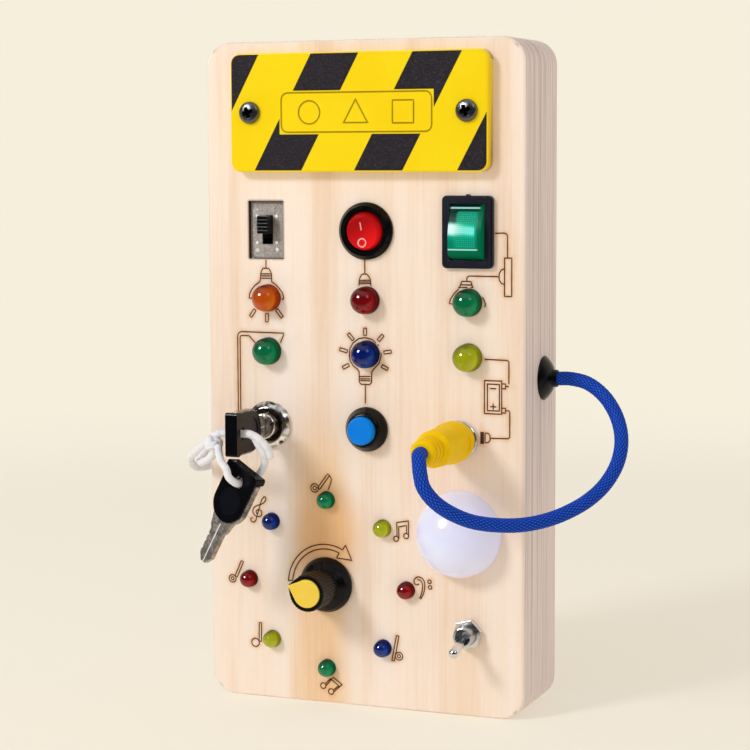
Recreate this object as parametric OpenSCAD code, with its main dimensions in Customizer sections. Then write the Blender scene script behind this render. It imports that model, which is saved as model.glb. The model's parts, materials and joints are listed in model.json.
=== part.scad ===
// Wooden busy board: a routed pine case that stands on its end, with switches,
// a key lock, a plug on a cord, a dimmer knob and small lamps on its front.
// X runs right along the front, Y runs from the front to the back, Z is up.
// The origin is the centre of the face that the case stands on.

/* [Case] */
// Width of the case
board_w = 101.4; // [101:0.2:104]
// Height of the case
board_h = 200; // [199.5:0.5:210]
// Depth of the case from front to back
board_d = 31; // [30.5:0.5:36]
// Radius of the four upright corners as seen from the front
board_corner_r = 7.5; // [6:0.5:9]
// Easing along the front and back edges
board_edge = 0.8; // [0.4:0.1:1.2]
// Thickness of the routed front wall
front_wall = 4; // [3.8:0.1:4.4]
// Thickness of the side walls
side_wall = 7; // [6.6:0.2:7.2]
// Radius that the router leaves in the corners of the hollow
hollow_corner_r = 4; // [3:0.5:5]
// Thickness of the back panel
back_t = 3; // [2.5:0.5:4]
// Width of the ledge that the back panel lies on
back_ledge = 3; // [2.5:0.5:3.5]
// Side of the square corner posts that take the back screws
post_w = 10; // [9:0.5:11]
// Diameter of the back screws
back_screw_d = 2.5; // [2:0.5:3]
// Length of the back screws
back_screw_l = 12; // [10:1:16]
// Distance of the back screws from the edge of the case
back_screw_inset = 10.5; // [10:0.5:11]

/* [Layout] */
// Distance from the left side of the case to the left column of parts
left_margin = 20; // [19.8:0.1:20.2]
// Distance from the right side of the case to the right column of parts
right_margin = 17.2; // [17:0.1:17.4]
// Distance from the top of the case down to the middle of the battery cover
cover_drop = 21.2; // [21:0.1:21.8]
// Distance from the middle of the battery cover down to the row of three switches
switch_drop = 35; // [34.6:0.1:35.4]
// Upper row of large lamps, as a share of the way from the ring of lamps up to the switches
upper_lamp_share = 0.7475; // [0.742:0.0005:0.752]
// Lower row of large lamps, as a share of the same way
lower_lamp_share = 0.5493; // [0.545:0.0005:0.555]
// Row with the lock, the button and the socket, as a share of the same way
plug_share = 0.2722; // [0.268:0.0005:0.276]
// Place of the centre of the knob and its ring of lamps
knob_x = -11.9; // [-12.2:0.1:-11.6]
// Height of the centre of the knob
knob_z = 36.8; // [36.4:0.1:37.2]
// Radius of the ring of small lamps
ring_r = 25.8; // [25.4:0.1:26]
// Number of small lamps in the ring
ring_count = 8; // [8:2:8]
// How far the round night lamp lies to the left of the right column
night_in = 2.8; // [2.4:0.1:3.2]
// Height of the round night lamp
night_z = 54.8; // [54:0.1:55.6]
// Height of the toggle switch
toggle_z = 25.1; // [24:0.1:26]

/* [Battery cover] */
// Width of the striped cover
cover_w = 81.4; // [80:0.2:83]
// Height of the striped cover
cover_h = 35.1; // [34:0.1:36]
// Thickness of the striped cover
cover_t = 4.2; // [3:0.1:5]
// Corner radius of the striped cover
cover_corner_r = 3; // [2:0.5:4]
// Distance between the two cover screws
cover_screw_pitch = 68.6; // [68:0.1:69.2]
// Diameter of the cover screws
cover_screw_d = 3; // [2.5:0.1:3.4]
// Diameter of the heads of the cover screws
cover_screw_head_d = 6; // [5.6:0.1:6.6]
// Height of the heads of the cover screws
cover_screw_head_h = 2; // [1.6:0.1:2.4]
// Diameter of one cell
cell_d = 10.5; // [10.1:0.1:10.7]
// Length of one cell without its nub
cell_l = 43.5; // [43:0.1:44]
// Wall of the battery holder
holder_wall = 1.2; // [1:0.1:1.4]
// Radius of the springs that press on the cells
cell_spring_r = 2.6; // [2.4:0.1:2.8]
// Wire of the springs that press on the cells
cell_spring_wire = 0.6; // [0.5:0.1:0.6]

/* [Slide switch] */
// Width of the metal frame
slide_w = 11; // [10.6:0.1:11.4]
// Height of the metal frame
slide_h = 17; // [16.5:0.1:17.5]
// Depth of the metal frame
slide_depth = 5.6; // [5.2:0.1:6]
// How far the frame lies below the wood
slide_sunk = 1.2; // [0.8:0.1:1.6]
// Sheet thickness of the frame
slide_sheet = 0.5; // [0.4:0.1:0.6]
// Width of the knob on the slider
slide_knob_w = 3.4; // [3:0.1:3.8]
// Height of the knob on the slider
slide_knob_h = 5.4; // [5:0.1:5.8]
// How far the knob stands above the frame
slide_knob_out = 4; // [3.4:0.1:4.6]
// Travel of the slider
slide_travel = 3.2; // [2.8:0.1:3.4]

/* [Round rocker] */
// Diameter of the bezel
round_bezel_d = 17; // [16.6:0.1:17.6]
// How far the bezel stands above the wood
round_bezel_t = 2.2; // [1.8:0.1:2.6]
// Diameter of the barrel that goes through the wood
round_barrel_d = 14.8; // [14.4:0.1:15]
// Diameter of the opening that the button rocks in
round_mouth_d = 12.2; // [12:0.1:12.4]
// Depth of the barrel behind the face of the wood
round_depth = 14; // [12:0.5:15]
// Diameter of the flat face of the button
round_face_d = 9.4; // [9:0.1:9.8]
// Angle of the resting button
round_rest = 7; // [6:0.5:8]

/* [Green rocker] */
// Width of the bezel
green_bezel_w = 15.6; // [15.2:0.1:16]
// Height of the bezel
green_bezel_h = 21.1; // [20.8:0.1:21.5]
// How far the bezel stands above the wood
green_bezel_t = 2; // [1.8:0.1:2.2]
// Width of the body that goes through the wood
green_body_w = 12.9; // [12.8:0.1:13.2]
// Height of the body that goes through the wood
green_body_h = 18.8; // [18.6:0.1:19]
// Depth of the body behind the face of the wood
green_depth = 14; // [12:0.5:15]
// Width of the opening that the button rocks in
green_mouth_w = 10.8; // [10.7:0.1:11]
// Radius of the end walls of the button about its pivot
green_swing_r = 8; // [7.9:0.1:8.1]
// Angle of the resting button
green_rest = 12; // [10:0.5:12]

/* [Push button] */
// Diameter of the bezel
push_bezel_d = 13.4; // [13:0.1:14]
// How far the bezel stands above the wood
push_bezel_t = 4.2; // [4:0.1:4.6]
// Diameter of the threaded neck
push_neck_d = 11.8; // [11.5:0.1:12]
// Depth of the neck behind the face of the wood
push_depth = 15; // [14:0.5:16]
// Diameter of the cap
push_cap_d = 8.4; // [8:0.1:8.6]
// How far the cap stands above the wood
push_cap_out = 6.3; // [6:0.1:6.8]
// Travel of the cap
push_travel = 1.8; // [1.5:0.1:2]
// Radius of the return spring
push_spring_r = 2.4; // [2.2:0.1:2.6]
// Width across the flats of the nuts that hold the button and the lock
panel_nut_w = 14; // [13.8:0.1:14.2]
// Thickness of those nuts
panel_nut_t = 2.4; // [2.2:0.1:2.6]

/* [Key lock] */
// Diameter of the bezel
lock_bezel_d = 14.4; // [14:0.1:15]
// How far the bezel stands above the wood
lock_bezel_t = 4.4; // [4:0.1:4.8]
// Diameter of the threaded neck
lock_neck_d = 11.8; // [11.5:0.1:12]
// Depth of the neck behind the face of the wood
lock_depth = 14; // [13:0.5:16]
// Diameter of the turning plug
lock_plug_d = 7.8; // [7.6:0.1:8.2]
// Thickness of the key blade
key_t = 1.8; // [1.6:0.1:2]
// Width of the key blade
key_blade_w = 4.8; // [4.4:0.1:5]
// How far the key goes in behind the face of the wood
key_in = 5; // [4.5:0.5:6]
// How far the key stands out from the face of the wood
key_out = 27; // [26:0.5:28]
// Width of the head of the key
key_head_w = 12.6; // [12:0.2:13]
// Thickness of the head of the key
key_head_t = 3.6; // [3.2:0.1:4]
// Thickness of the thick end of the head
key_rim_t = 4.6; // [4.2:0.1:5]
// Diameter of the string hole in the head
key_hole_d = 3.8; // [3.6:0.1:4]
// Angle at which the spare key hangs
spare_lean = 27; // [24:1:30]

/* [Plug and socket] */
// Diameter of the threaded socket
socket_d = 8; // [7.6:0.1:8.4]
// Diameter of the ring nut on the socket
socket_ring_d = 11.4; // [11:0.1:12]
// Thickness of the ring nut
socket_ring_t = 1.6; // [1.4:0.1:1.8]
// How far the socket sits below the row of the lock
socket_drop = 1.8; // [1.4:0.1:2.2]
// Diameter of the socket bore
socket_bore_d = 5.6; // [5.5:0.1:6]
// Depth of the socket behind the face of the wood
socket_depth = 12; // [11:0.5:13]
// Length of the moulded plug
plug_l = 30.1; // [30:0.1:30.2]
// Largest diameter of the moulded plug
plug_d = 12.3; // [12:0.1:12.6]
// Diameter of the outer end of the plug
plug_end_d = 7.8; // [7.4:0.1:8]
// Width of the plug across its two thumb flats
plug_flat_w = 10.9; // [10.6:0.1:11.4]
// Length of the metal tip of the plug
plug_tip_l = 9.5; // [9:0.1:10]
// Travel of the plug out of its socket
plug_travel = 12; // [11:0.5:13]

/* [Cords] */
// Diameter of the blue plug cord
cord_d = 4; // [3.6:0.1:4]
// Diameter of the white key string
string_d = 2.2; // [2:0.1:2.2]
// Height of the cord grommet on the right side
cord_z = 100; // [100:0.1:100]
// Place of the cord grommet from the middle of the depth
cord_y = 2.8; // [2.8:0.1:2.8]
// Place of the string grommet from the middle of the depth
string_y = 1.2; // [1.2:0.1:1.2]
// Height of the string grommet on the left side
string_z = 95; // [95:0.1:95]
// Diameter of a grommet
grommet_d = 13.5; // [13:0.1:14]
// How far a grommet stands out from the side
grommet_h = 3.4; // [3.2:0.1:3.6]
// Diameter of the neck of a grommet
grommet_neck_d = 8; // [7.6:0.1:8.4]

/* [Lamps] */
// Diameter of a large lamp
big_led_d = 8; // [7.8:0.1:8.2]
// How far a large lamp stands out
big_led_out = 6.5; // [6:0.1:7]
// Diameter of a small lamp
small_led_d = 5; // [4.8:0.1:5.2]
// How far a small lamp stands out
small_led_out = 4.1; // [3.8:0.1:4.6]
// Diameter of the wires under a lamp
led_leg_d = 0.6; // [0.5:0.1:0.6]
// Length of the wires under a lamp
led_leg_l = 8; // [7:0.5:9]
// Diameter of the milky dome
dome_d = 25.8; // [25:0.1:26.2]
// Wall of the milky dome
dome_wall = 1.3; // [1.1:0.1:1.5]
// Diameter of the collar behind the dome
collar_d = 20; // [19:0.5:21]
// Side of the light source on the night lamp's board
chip_w = 5; // [4.6:0.1:5.2]
// Thickness of that light source
chip_t = 1.2; // [1:0.1:1.4]

/* [Knob] */
// Height of the knob above the wood
knob_h = 16; // [15:0.5:17]
// Diameter of the skirt of the knob
knob_skirt_d = 16.8; // [16.4:0.1:17.2]
// Diameter of the grip of the knob
knob_grip_d = 11.2; // [10.8:0.1:11.6]
// Number of flutes in the grip
knob_flutes = 18; // [14:2:20]
// Reach of the pointer from the centre of the knob
knob_pointer = 7.6; // [7.2:0.1:8]
// Direction of the pointer from the right, anticlockwise
knob_rest = 160; // [150:1:170]
// Diameter of the shaft under the knob
shaft_d = 6; // [5.8:0.1:6]
// Diameter of the threaded bush of the dimmer
bush_d = 7; // [6.8:0.1:7.2]
// Diameter of the can of the dimmer
pot_d = 16; // [15:0.5:16.5]
// Depth of the can of the dimmer
pot_depth = 9; // [8:0.5:10]
// Radius of the round circuit board
circuit_r = 29; // [29:0.1:29.3]
// Thickness of the circuit board
circuit_t = 1.6; // [1.4:0.2:1.6]

/* [Toggle switch] */
// Width of the box behind the wood
toggle_box_w = 8; // [7.8:0.1:8.2]
// Height of the box behind the wood
toggle_box_h = 13; // [12.6:0.1:13.4]
// Depth of the box behind the wood
toggle_box_depth = 10; // [9:0.5:10.5]
// Width across the flats of the hex nut
toggle_nut_w = 8; // [7.6:0.1:8.4]
// Thickness of the hex nut
toggle_nut_t = 2; // [1.8:0.1:2.2]
// Diameter of the threaded bush
toggle_bush_d = 6; // [5.9:0.1:6]
// How far the bush stands out
toggle_bush_out = 6; // [5.6:0.1:6.2]
// Length of the lever from its pivot to its end
toggle_lever_l = 12.8; // [12:0.1:13.4]
// Diameter of the lever at its end
toggle_tip_d = 3.1; // [2.9:0.1:3.3]
// Angle of the resting lever
toggle_rest = 16; // [15:0.5:16.5]

/* [Fits] */
// Gap between a part and the hole that it goes through
hole_gap = 0.1; // [0.1:0.01:0.12]
// Running gap round a pivot or a sliding part
run_gap = 0.08; // [0.06:0.01:0.1]
// Gap between faces that lie next to each other
seat_gap = 0.1; // [0.05:0.05:0.15]

/* [Hidden] */
$fn = 48;
front_y = -board_d/2;
left_x = left_margin - board_w/2;
right_x = board_w/2 - right_margin;
middle_x = (left_x + right_x)/2;
night_x = right_x - night_in;
cover_z = board_h - cover_drop;
switch_z = cover_z - switch_drop;
ring_top = knob_z + ring_r;
upper_lamp_z = ring_top + upper_lamp_share*(switch_z - ring_top);
lower_lamp_z = ring_top + lower_lamp_share*(switch_z - ring_top);
plug_z = ring_top + plug_share*(switch_z - ring_top);
socket_z = plug_z - socket_drop;
slide_x = left_x - 0.6;
hollow_w = board_w - 2*side_wall;
hollow_h = board_h - 2*side_wall;
rebate_w = hollow_w + 2*back_ledge;
rebate_h = hollow_h + 2*back_ledge;
back_screw_head_h = 1.5;
hatch_w = cell_l + 2*holder_wall + 6.6;
hatch_h = 2*cell_d + 2*holder_wall + 0.8;
holder_depth = cell_d + holder_wall + 0.6;
holder_front = -0.4;
cell_mid = holder_front - holder_depth + holder_wall + cell_d/2;
cell_nub = 1;
contact_t = 0.5;
contact_face = hatch_w/2 - holder_wall - contact_t - 0.05;
cell_end = contact_face - cell_nub - 0.05;
cover_post_w = 8;
cover_post_l = 6;

// Heights of the rockers' pivots above the wood, and the radii of their pins
round_pivot = -0.1;
round_ball_r = round_mouth_d/2 - 0.15;
round_face_h = sqrt(pow(round_ball_r, 2) - pow(round_face_d/2, 2));
green_pivot = -0.6;
green_face_h = 4.6;
rocker_pin_r = 0.9;
rocker_floor = -5.2;
round_terminal_pitch = 7.2;
green_terminal_pitch = 6.2;
blade_w = 4.4;
blade_t = 0.7;

// The key: places along its axis, measured out from the face of the wood
key_hole_at = key_out - 4.6;
key_rim_l = 2.4;
key_shoulder = lock_bezel_t + 1;
key_bow = 9.4;
key_cheek_w = key_head_w - 0.6;
key_border = 0.6;
key_pin_d = 1.5;
key_pin_at = 3.4;
key_pin_up = key_bow + 4.8;
plug_face = lock_bezel_t + 0.5;
spare_x = -30.2;
spare_z = 70;
spare_out = 21.5;
spare_turn = -18;

// The dimmer and the ring board
pot_gap = 0.3;
circuit_front = front_wall + 4.6;
small_flange_t = 1;
big_flange_t = 1.5;

// The toggle lever's pivot above the wood
toggle_pivot = 2.2;
toggle_ball_r = 1.5;

// Route of the blue cord, from the plug's end to the grommet
cord_route = [[30.7, -47.6, 82.9], [30.7, -49, 82.9], [31.1, -50.8, 82.6], [32.1, -53.2, 81.2],
    [33.2, -55.2, 78.2], [34.5, -55.9, 74.6], [37.3, -54.6, 70.6], [41.1, -51.6, 67.2],
    [45.7, -47.8, 64.6], [51, -43.2, 63.2], [56.6, -38.2, 62.7], [62.1, -32.9, 63.4], [67.1, -27.3, 65.2],
    [71.8, -21.6, 68.2], [75.3, -16, 72.4], [77.2, -10.6, 77.8], [77, -6, 83.8], [74.6, -2.4, 89.8],
    [70.3, 0.2, 95.2], [64.8, 2, 98.8], [59.4, 2.8, 100], [55.1, 2.8, 100]];

// Route of the white string: out of the grommet, through both keys, and back
string_route = [[-55.1, 0, 95], [-57.4, 0, 95], [-58.9, 0, 93.2], [-58.8, -0.6, 89.8], [-57.2, -1.6, 86.4],
    [-55.4, -3.4, 82.8], [-54, -6.8, 79.4], [-54, -11.2, 77], [-54.6, -16, 75.8], [-53.6, -20.4, 76.2],
    [-50.8, -24.6, 77.6], [-46.6, -29.2, 79.6], [-41.8, -33.8, 81.8], [-37.2, -37.2, 83.8],
    [-33.2, -38, 84.7], [-28.2, -38, 84.7], [-24.8, -37.6, 83], [-22.8, -36.6, 79.6],
    [-22.6, -34.6, 75.6], [-24.4, -31.8, 72.4], [-27.4, -30, 70.6], [-29.8, -31.2, 70], [-30.2, -34.4, 70],
    [-30.2, -39.8, 70], [-31.4, -42.4, 71.2], [-34, -43, 74], [-36.4, -42, 77.4], [-38.2, -39.8, 79.8],
    [-40.8, -36.4, 79.2], [-44.4, -32.2, 76.6], [-48.4, -27.8, 74.2], [-52.2, -23.2, 72.4],
    [-55, -18.4, 71.2], [-56, -13, 71.2], [-55.4, -7.8, 73], [-54.8, -3.4, 76.4], [-55.2, 0, 80.6],
    [-56.8, 1.6, 85.2], [-58.6, 2.2, 89.6], [-58.9, 2.4, 93.2], [-57.4, 2.4, 95], [-55.1, 2.4, 95]];
knot_at = 28;

// Turns local Z to point out of the front, with local Y up
module on_front(x, z) {
    translate([x, front_y, z])
        rotate([90, 0, 0])
            children();
}

// Turns local Z to point out of a side: 1 is the right side, -1 the left
module on_side(side, y, z) {
    translate([side*board_w/2, y, z])
        rotate([0, side*90, 0])
            children();
}

module rounded_rect(w, h, r) {
    square([w - 2*r, h], center = true);
    square([w, h - 2*r], center = true);
    for (x = [-1, 1])
        for (y = [-1, 1])
            translate([x*(w/2 - r), y*(h/2 - r)])
                circle(r);
}

module plate(w, h, r, from, to) {
    translate([0, 0, from])
        linear_extrude(to - from)
            rounded_rect(w, h, r);
}

module disc(d, from, to) {
    translate([0, 0, from])
        cylinder(d = d, h = to - from);
}

module block(w, h, from, to) {
    translate([-w/2, -h/2, from])
        cube([w, h, to - from]);
}

module hexagon(flats, from, to) {
    translate([0, 0, from])
        cylinder(d = flats/cos(30), h = to - from, $fn = 6);
}

// Steps of threads are left smooth: a neck is a plain cylinder with a bevelled end
module neck(d, from, to, bevel = 0.5) {
    disc(d, from + bevel, to);
    translate([0, 0, from])
        cylinder(d1 = d - 2*bevel, d2 = d, h = bevel);
}

// A cord: rings of points carried along a route and joined into one closed skin
function unit(v) = v/norm(v);
function heading(route, i) = unit(route[min(i + 1, len(route) - 1)] - route[max(i - 1, 0)]);
function carried(side, way) = unit(side - (side*way)*way);
function sides_along(route, i, side) =
    i == len(route) ? [] :
    let (s = carried(side, heading(route, i)))
    concat([s], sides_along(route, i + 1, s));
function ring(centre, side, way, r, sides) =
    [for (k = [0:sides - 1]) centre + r*(cos(360*k/sides)*side + sin(360*k/sides)*cross(way, side))];
module tube(route, d, sides = 8, start = [0.1, 0.2, 1]) {
    n = len(route);
    side = sides_along(route, 0, start);
    points = [for (i = [0:n - 1]) each ring(route[i], side[i], heading(route, i), d/2, sides)];
    walls = [for (i = [0:n - 2]) for (k = [0:sides - 1])
        let (a = i*sides + k, b = i*sides + (k + 1) % sides)
        each [[a, a + sides, b + sides], [a, b + sides, b]]];
    caps = [[for (k = [0:sides - 1]) k], [for (k = [sides - 1:-1:0]) (n - 1)*sides + k]];
    polyhedron(points, concat(walls, caps), convexity = 8);
}
// A coil spring along Z, wound by a loop
function coil(r, from, to, turns, per_turn) =
    [for (i = [0:turns*per_turn])
        [r*cos(360*i/per_turn), r*sin(360*i/per_turn), from + (to - from)*i/(turns*per_turn)]];

// ---- Case ----
module board_outline(inset) {
    rounded_rect(board_w - 2*inset, board_h - 2*inset, board_corner_r - inset);
}

module each_back_screw() {
    for (x = [-1, 1])
        for (z = [-1, 1])
            translate([x*(board_w/2 - back_screw_inset), z*(board_h/2 - back_screw_inset), 0])
                children();
}

module case_block() {
    hull() {
        translate([0, 0, -board_d + board_edge])
            linear_extrude(board_d - 2*board_edge)
                board_outline(0, $fn = 32);
        translate([0, 0, -board_d])
            linear_extrude(board_d)
                board_outline(board_edge, $fn = 32);
    }
}

module hollow() {
    back_of_wall = -front_wall;
    corner_x = hollow_w/2 - post_w/2;
    corner_y = hollow_h/2 - post_w/2;
    difference() {
        plate(hollow_w, hollow_h, hollow_corner_r, -board_d - 1, back_of_wall);
        for (x = [-1, 1])
            for (y = [-1, 1])
                translate([x*corner_x, y*corner_y, 0])
                    block(post_w + 0.02, post_w + 0.02, -board_d + back_t, back_of_wall + 1);
        for (x = [-1, 1])
            translate([x*cover_screw_pitch/2, cover_z - board_h/2, 0])
                block(cover_post_w, cover_post_w, -front_wall - cover_post_l, back_of_wall + 1);
    }
    plate(rebate_w, rebate_h, hollow_corner_r + 1, -board_d - 1, -board_d + back_t);
}

module front_holes() {
    through = 1;
    on_front(0, cover_z)
        block(hatch_w + 2*hole_gap, hatch_h + 2*hole_gap, -front_wall - through, through);
    for (x = [-1, 1])
        on_front(x*cover_screw_pitch/2, cover_z)
            disc(cover_screw_d + 2*run_gap, -front_wall - cover_post_l + 1, through);
    on_front(slide_x, switch_z)
        block(slide_w + 2*hole_gap, slide_h + 2*hole_gap, -front_wall - through, through);
    on_front(middle_x, switch_z)
        disc(round_barrel_d + 2*hole_gap, -front_wall - through, through);
    on_front(right_x, switch_z)
        block(green_body_w + 2*hole_gap, green_body_h + 2*hole_gap, -front_wall - through, through);
    on_front(middle_x, plug_z)
        disc(push_neck_d + 2*hole_gap, -front_wall - through, through);
    on_front(left_x, plug_z)
        disc(lock_neck_d + 2*hole_gap, -front_wall - through, through);
    on_front(night_x, socket_z)
        disc(socket_d + 2*hole_gap, -front_wall - through, through);
    on_front(night_x, night_z)
        disc(collar_d + 2*hole_gap, -front_wall - through, through);
    on_front(right_x, toggle_z)
        disc(toggle_bush_d + 2*hole_gap, -front_wall - through, through);
    on_front(knob_x, knob_z)
        disc(bush_d + 2*hole_gap, -front_wall - through, through);
    for (place = big_led_places())
        on_front(place[0], place[1])
            disc(big_led_d + 2*hole_gap, -front_wall - through, through);
    for (i = [0:ring_count - 1])
        on_ring(i)
            disc(small_led_d + 2*hole_gap, -front_wall - through, through);
}

module side_holes() {
    on_side(1, cord_y, cord_z)
        disc(grommet_neck_d + 2*hole_gap, -side_wall - 1, 1);
    on_side(-1, string_y, string_z)
        disc(grommet_neck_d + 2*hole_gap, -side_wall - 1, 1);
}

module case() {
    color("bisque")
        difference() {
            on_front(0, board_h/2) {
                difference() {
                    case_block();
                    hollow();
                    each_back_screw()
                        disc(back_screw_d + 2*run_gap, -board_d, -board_d + back_screw_l + 1);
                }
            }
            front_holes();
            side_holes();
        }
}

module back_panel() {
    gap = 0.15;
    color("burlywood")
        on_front(0, board_h/2)
            difference() {
                plate(rebate_w - 2*gap, rebate_h - 2*gap, hollow_corner_r + 1 - gap,
                    -board_d, -board_d + back_t);
                each_back_screw() {
                    disc(back_screw_d + 2*run_gap, -board_d - 1, 0);
                    translate([0, 0, -board_d - 0.01])
                        cylinder(d1 = 2*back_screw_d + 2*run_gap, d2 = back_screw_d + 2*run_gap,
                            h = back_screw_head_h);
                }
            }
}

module back_screws() {
    color("silver")
        on_front(0, board_h/2)
            each_back_screw() {
                slot_w = 0.6;
                difference() {
                    union() {
                        translate([0, 0, -board_d + 0.05])
                            cylinder(d1 = 2*back_screw_d, d2 = back_screw_d, h = back_screw_head_h);
                        disc(back_screw_d, -board_d + 0.1, -board_d + back_screw_l);
                    }
                    block(slot_w, 3, -board_d, -board_d + 0.8);
                    block(3, slot_w, -board_d, -board_d + 0.8);
                }
            }
}

// ---- Battery cover and cells ----
module battery_cover() {
    color("gold")
        on_front(0, cover_z)
            difference() {
                hull() {
                    plate(cover_w, cover_h, cover_corner_r, 0, cover_t - 0.5, $fn = 32);
                    plate(cover_w - 1, cover_h - 1, cover_corner_r - 0.5, 0, cover_t, $fn = 32);
                }
                for (x = [-1, 1])
                    translate([x*cover_screw_pitch/2, 0, 0])
                        disc(cover_screw_d + 2*run_gap, -1, cover_t + 1);
            }
}

module cover_screws() {
    dome_r = (pow(cover_screw_head_d/2, 2) + pow(cover_screw_head_h, 2))/(2*cover_screw_head_h);
    color("dimgray")
        for (x = [-1, 1])
            on_front(x*cover_screw_pitch/2, cover_z) {
                disc(cover_screw_d, -front_wall - cover_post_l + 1.5, cover_t);
                translate([0, 0, cover_t])
                    difference() {
                        intersection() {
                            translate([0, 0, cover_screw_head_h - dome_r])
                                sphere(dome_r);
                            cylinder(d = cover_screw_head_d, h = cover_screw_head_h);
                        }
                        for (turn = [20, 110])
                            rotate(turn)
                                block(0.8, 3.4, 0.7, cover_screw_head_h + 1);
                    }
            }
}

module each_cell() {
    for (row = [-1, 1])
        translate([0, row*(cell_d/2 + 0.2), cell_mid])
            rotate([0, row*90, 0])
                children();
}

module battery_holder() {
    color("dimgray")
        on_front(0, cover_z)
            difference() {
                plate(hatch_w, hatch_h, 1, holder_front - holder_depth, holder_front);
                block(hatch_w - 2*holder_wall, hatch_h - 2*holder_wall,
                    holder_front - holder_depth + holder_wall, 1);
            }
}

module battery_cells() {
    color("seagreen")
        on_front(0, cover_z)
            each_cell() {
                disc(cell_d - 0.1, cell_end - cell_l, cell_end);
                disc(3.8, cell_end - 0.1, cell_end + cell_nub);
            }
}

module battery_springs() {
    from = -contact_face + cell_spring_wire/2 + 0.05;
    to = cell_end - cell_l - cell_spring_wire/2 - 0.05;
    color("silver")
        on_front(0, cover_z)
            each_cell()
                tube(coil(cell_spring_r, from, to, 3, 12), cell_spring_wire);
}

module battery_contacts() {
    plate_w = 8;
    color("silver")
        on_front(0, cover_z)
            each_cell()
                for (end = [0, 1])
                    mirror([0, 0, end])
                        block(plate_w, plate_w, contact_face, contact_face + contact_t);
}

// ---- Slide switch ----
module slide_frame() {
    slot_h = slide_knob_h + slide_travel + 2*run_gap;
    color("gray")
        on_front(slide_x, switch_z)
            translate([0, 0, -slide_sunk])
                difference() {
                    block(slide_w, slide_h, -slide_depth, 0);
                    block(slide_w - 2*slide_sheet, slide_h - 2*slide_sheet, -slide_depth - 1, -slide_sheet);
                    block(slide_knob_w + 2*run_gap, slot_h, -1, 1);
                    for (x = [-1, 1])
                        for (y = [-1, 1])
                            translate([x*2.9, y*6.1, -0.2])
                                cylinder(d = 1.4, h = 1);
                }
}

module slide_base() {
    board_t = 1;
    pin_l = 3.6;
    color("sienna")
        on_front(slide_x, switch_z)
            translate([0, 0, -slide_sunk - slide_depth]) {
                block(slide_w - 2*slide_sheet - 0.1, slide_h - 2*slide_sheet - 0.1, 0.05, board_t);
                for (x = [-1, 1])
                    for (y = [-1:1])
                        translate([x*2.4, y*4, -pin_l])
                            block(0.5, 1.4, 0, pin_l + 0.1);
            }
}

module slide_knob() {
    ribs = 5;
    rib_pitch = slide_knob_h/ribs;
    carriage_out = -slide_sheet - run_gap;
    color("black")
        on_front(slide_x, switch_z + slide_travel/2)
            translate([0, 0, -slide_sunk]) {
                difference() {
                    block(slide_knob_w, slide_knob_h, carriage_out - 0.1, slide_knob_out);
                    for (i = [0:ribs])
                        translate([0, (i - ribs/2)*rib_pitch, slide_knob_out])
                            rotate([0, 90, 0])
                                cylinder(d = 0.5, h = slide_knob_w + 1, center = true, $fn = 16);
                }
                block(slide_w - 2*slide_sheet - 1, slide_knob_h + 3, carriage_out - 2.4, carriage_out);
            }
}

// ---- Round rocker ----
module round_housing() {
    color("black")
        on_front(middle_x, switch_z)
            difference() {
                union() {
                    rotate_extrude()
                        polygon([[0, 0], [round_bezel_d/2, 0], [round_bezel_d/2, 0.8],
                            [round_bezel_d/2 - 1.1, round_bezel_t], [0, round_bezel_t]]);
                    neck(round_barrel_d, -round_depth, 0.01);
                }
                disc(round_mouth_d, rocker_floor, round_bezel_t + 1);
                disc(round_mouth_d - 2, -round_depth + 1.2, rocker_floor + 1);
                terminal_row(2, round_terminal_pitch)
                    blade_slot(-round_depth);
                translate([0, 0, round_pivot])
                    rotate([0, 90, 0])
                        cylinder(r = rocker_pin_r + run_gap, h = round_barrel_d - 1, center = true);
            }
}

module round_button() {
    dish_r = 14;
    color("crimson")
        on_front(middle_x, switch_z)
            translate([0, 0, round_pivot])
                rotate([round_rest, 0, 0]) {
                    difference() {
                        intersection() {
                            sphere(round_ball_r);
                            disc(2*round_ball_r, -3.2, round_face_h);
                        }
                        translate([0, 0, round_face_h + dish_r - 0.45])
                            sphere(dish_r);
                    }
                    rotate([0, 90, 0])
                        cylinder(r = rocker_pin_r, h = round_barrel_d - 1.2, center = true);
                }
}

module round_terminals() {
    color("goldenrod")
        on_front(middle_x, switch_z)
            terminal_row(2, round_terminal_pitch)
                blade_terminal(-round_depth);
}

// A column of solder terminals, one above the other
module terminal_row(count, pitch) {
    for (i = [0:count - 1])
        translate([0, (i - (count - 1)/2)*pitch, 0])
            children();
}

// The slot in a housing's floor that a blade goes through
module blade_slot(floor_at) {
    block(blade_w + 2*hole_gap, blade_t + 2*hole_gap, floor_at - 1, floor_at + 2);
}

// A flat solder blade with a hole, reaching back through a housing's floor
module blade_terminal(floor_at) {
    blade_l = 6.4;
    inside = 1.8;
    translate([0, 0, floor_at])
        difference() {
            block(blade_w, blade_t, -blade_l, inside);
            translate([0, 0, -blade_l + 2])
                rotate([90, 0, 0])
                    cylinder(d = 1.6, h = 3, center = true);
        }
}

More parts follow.
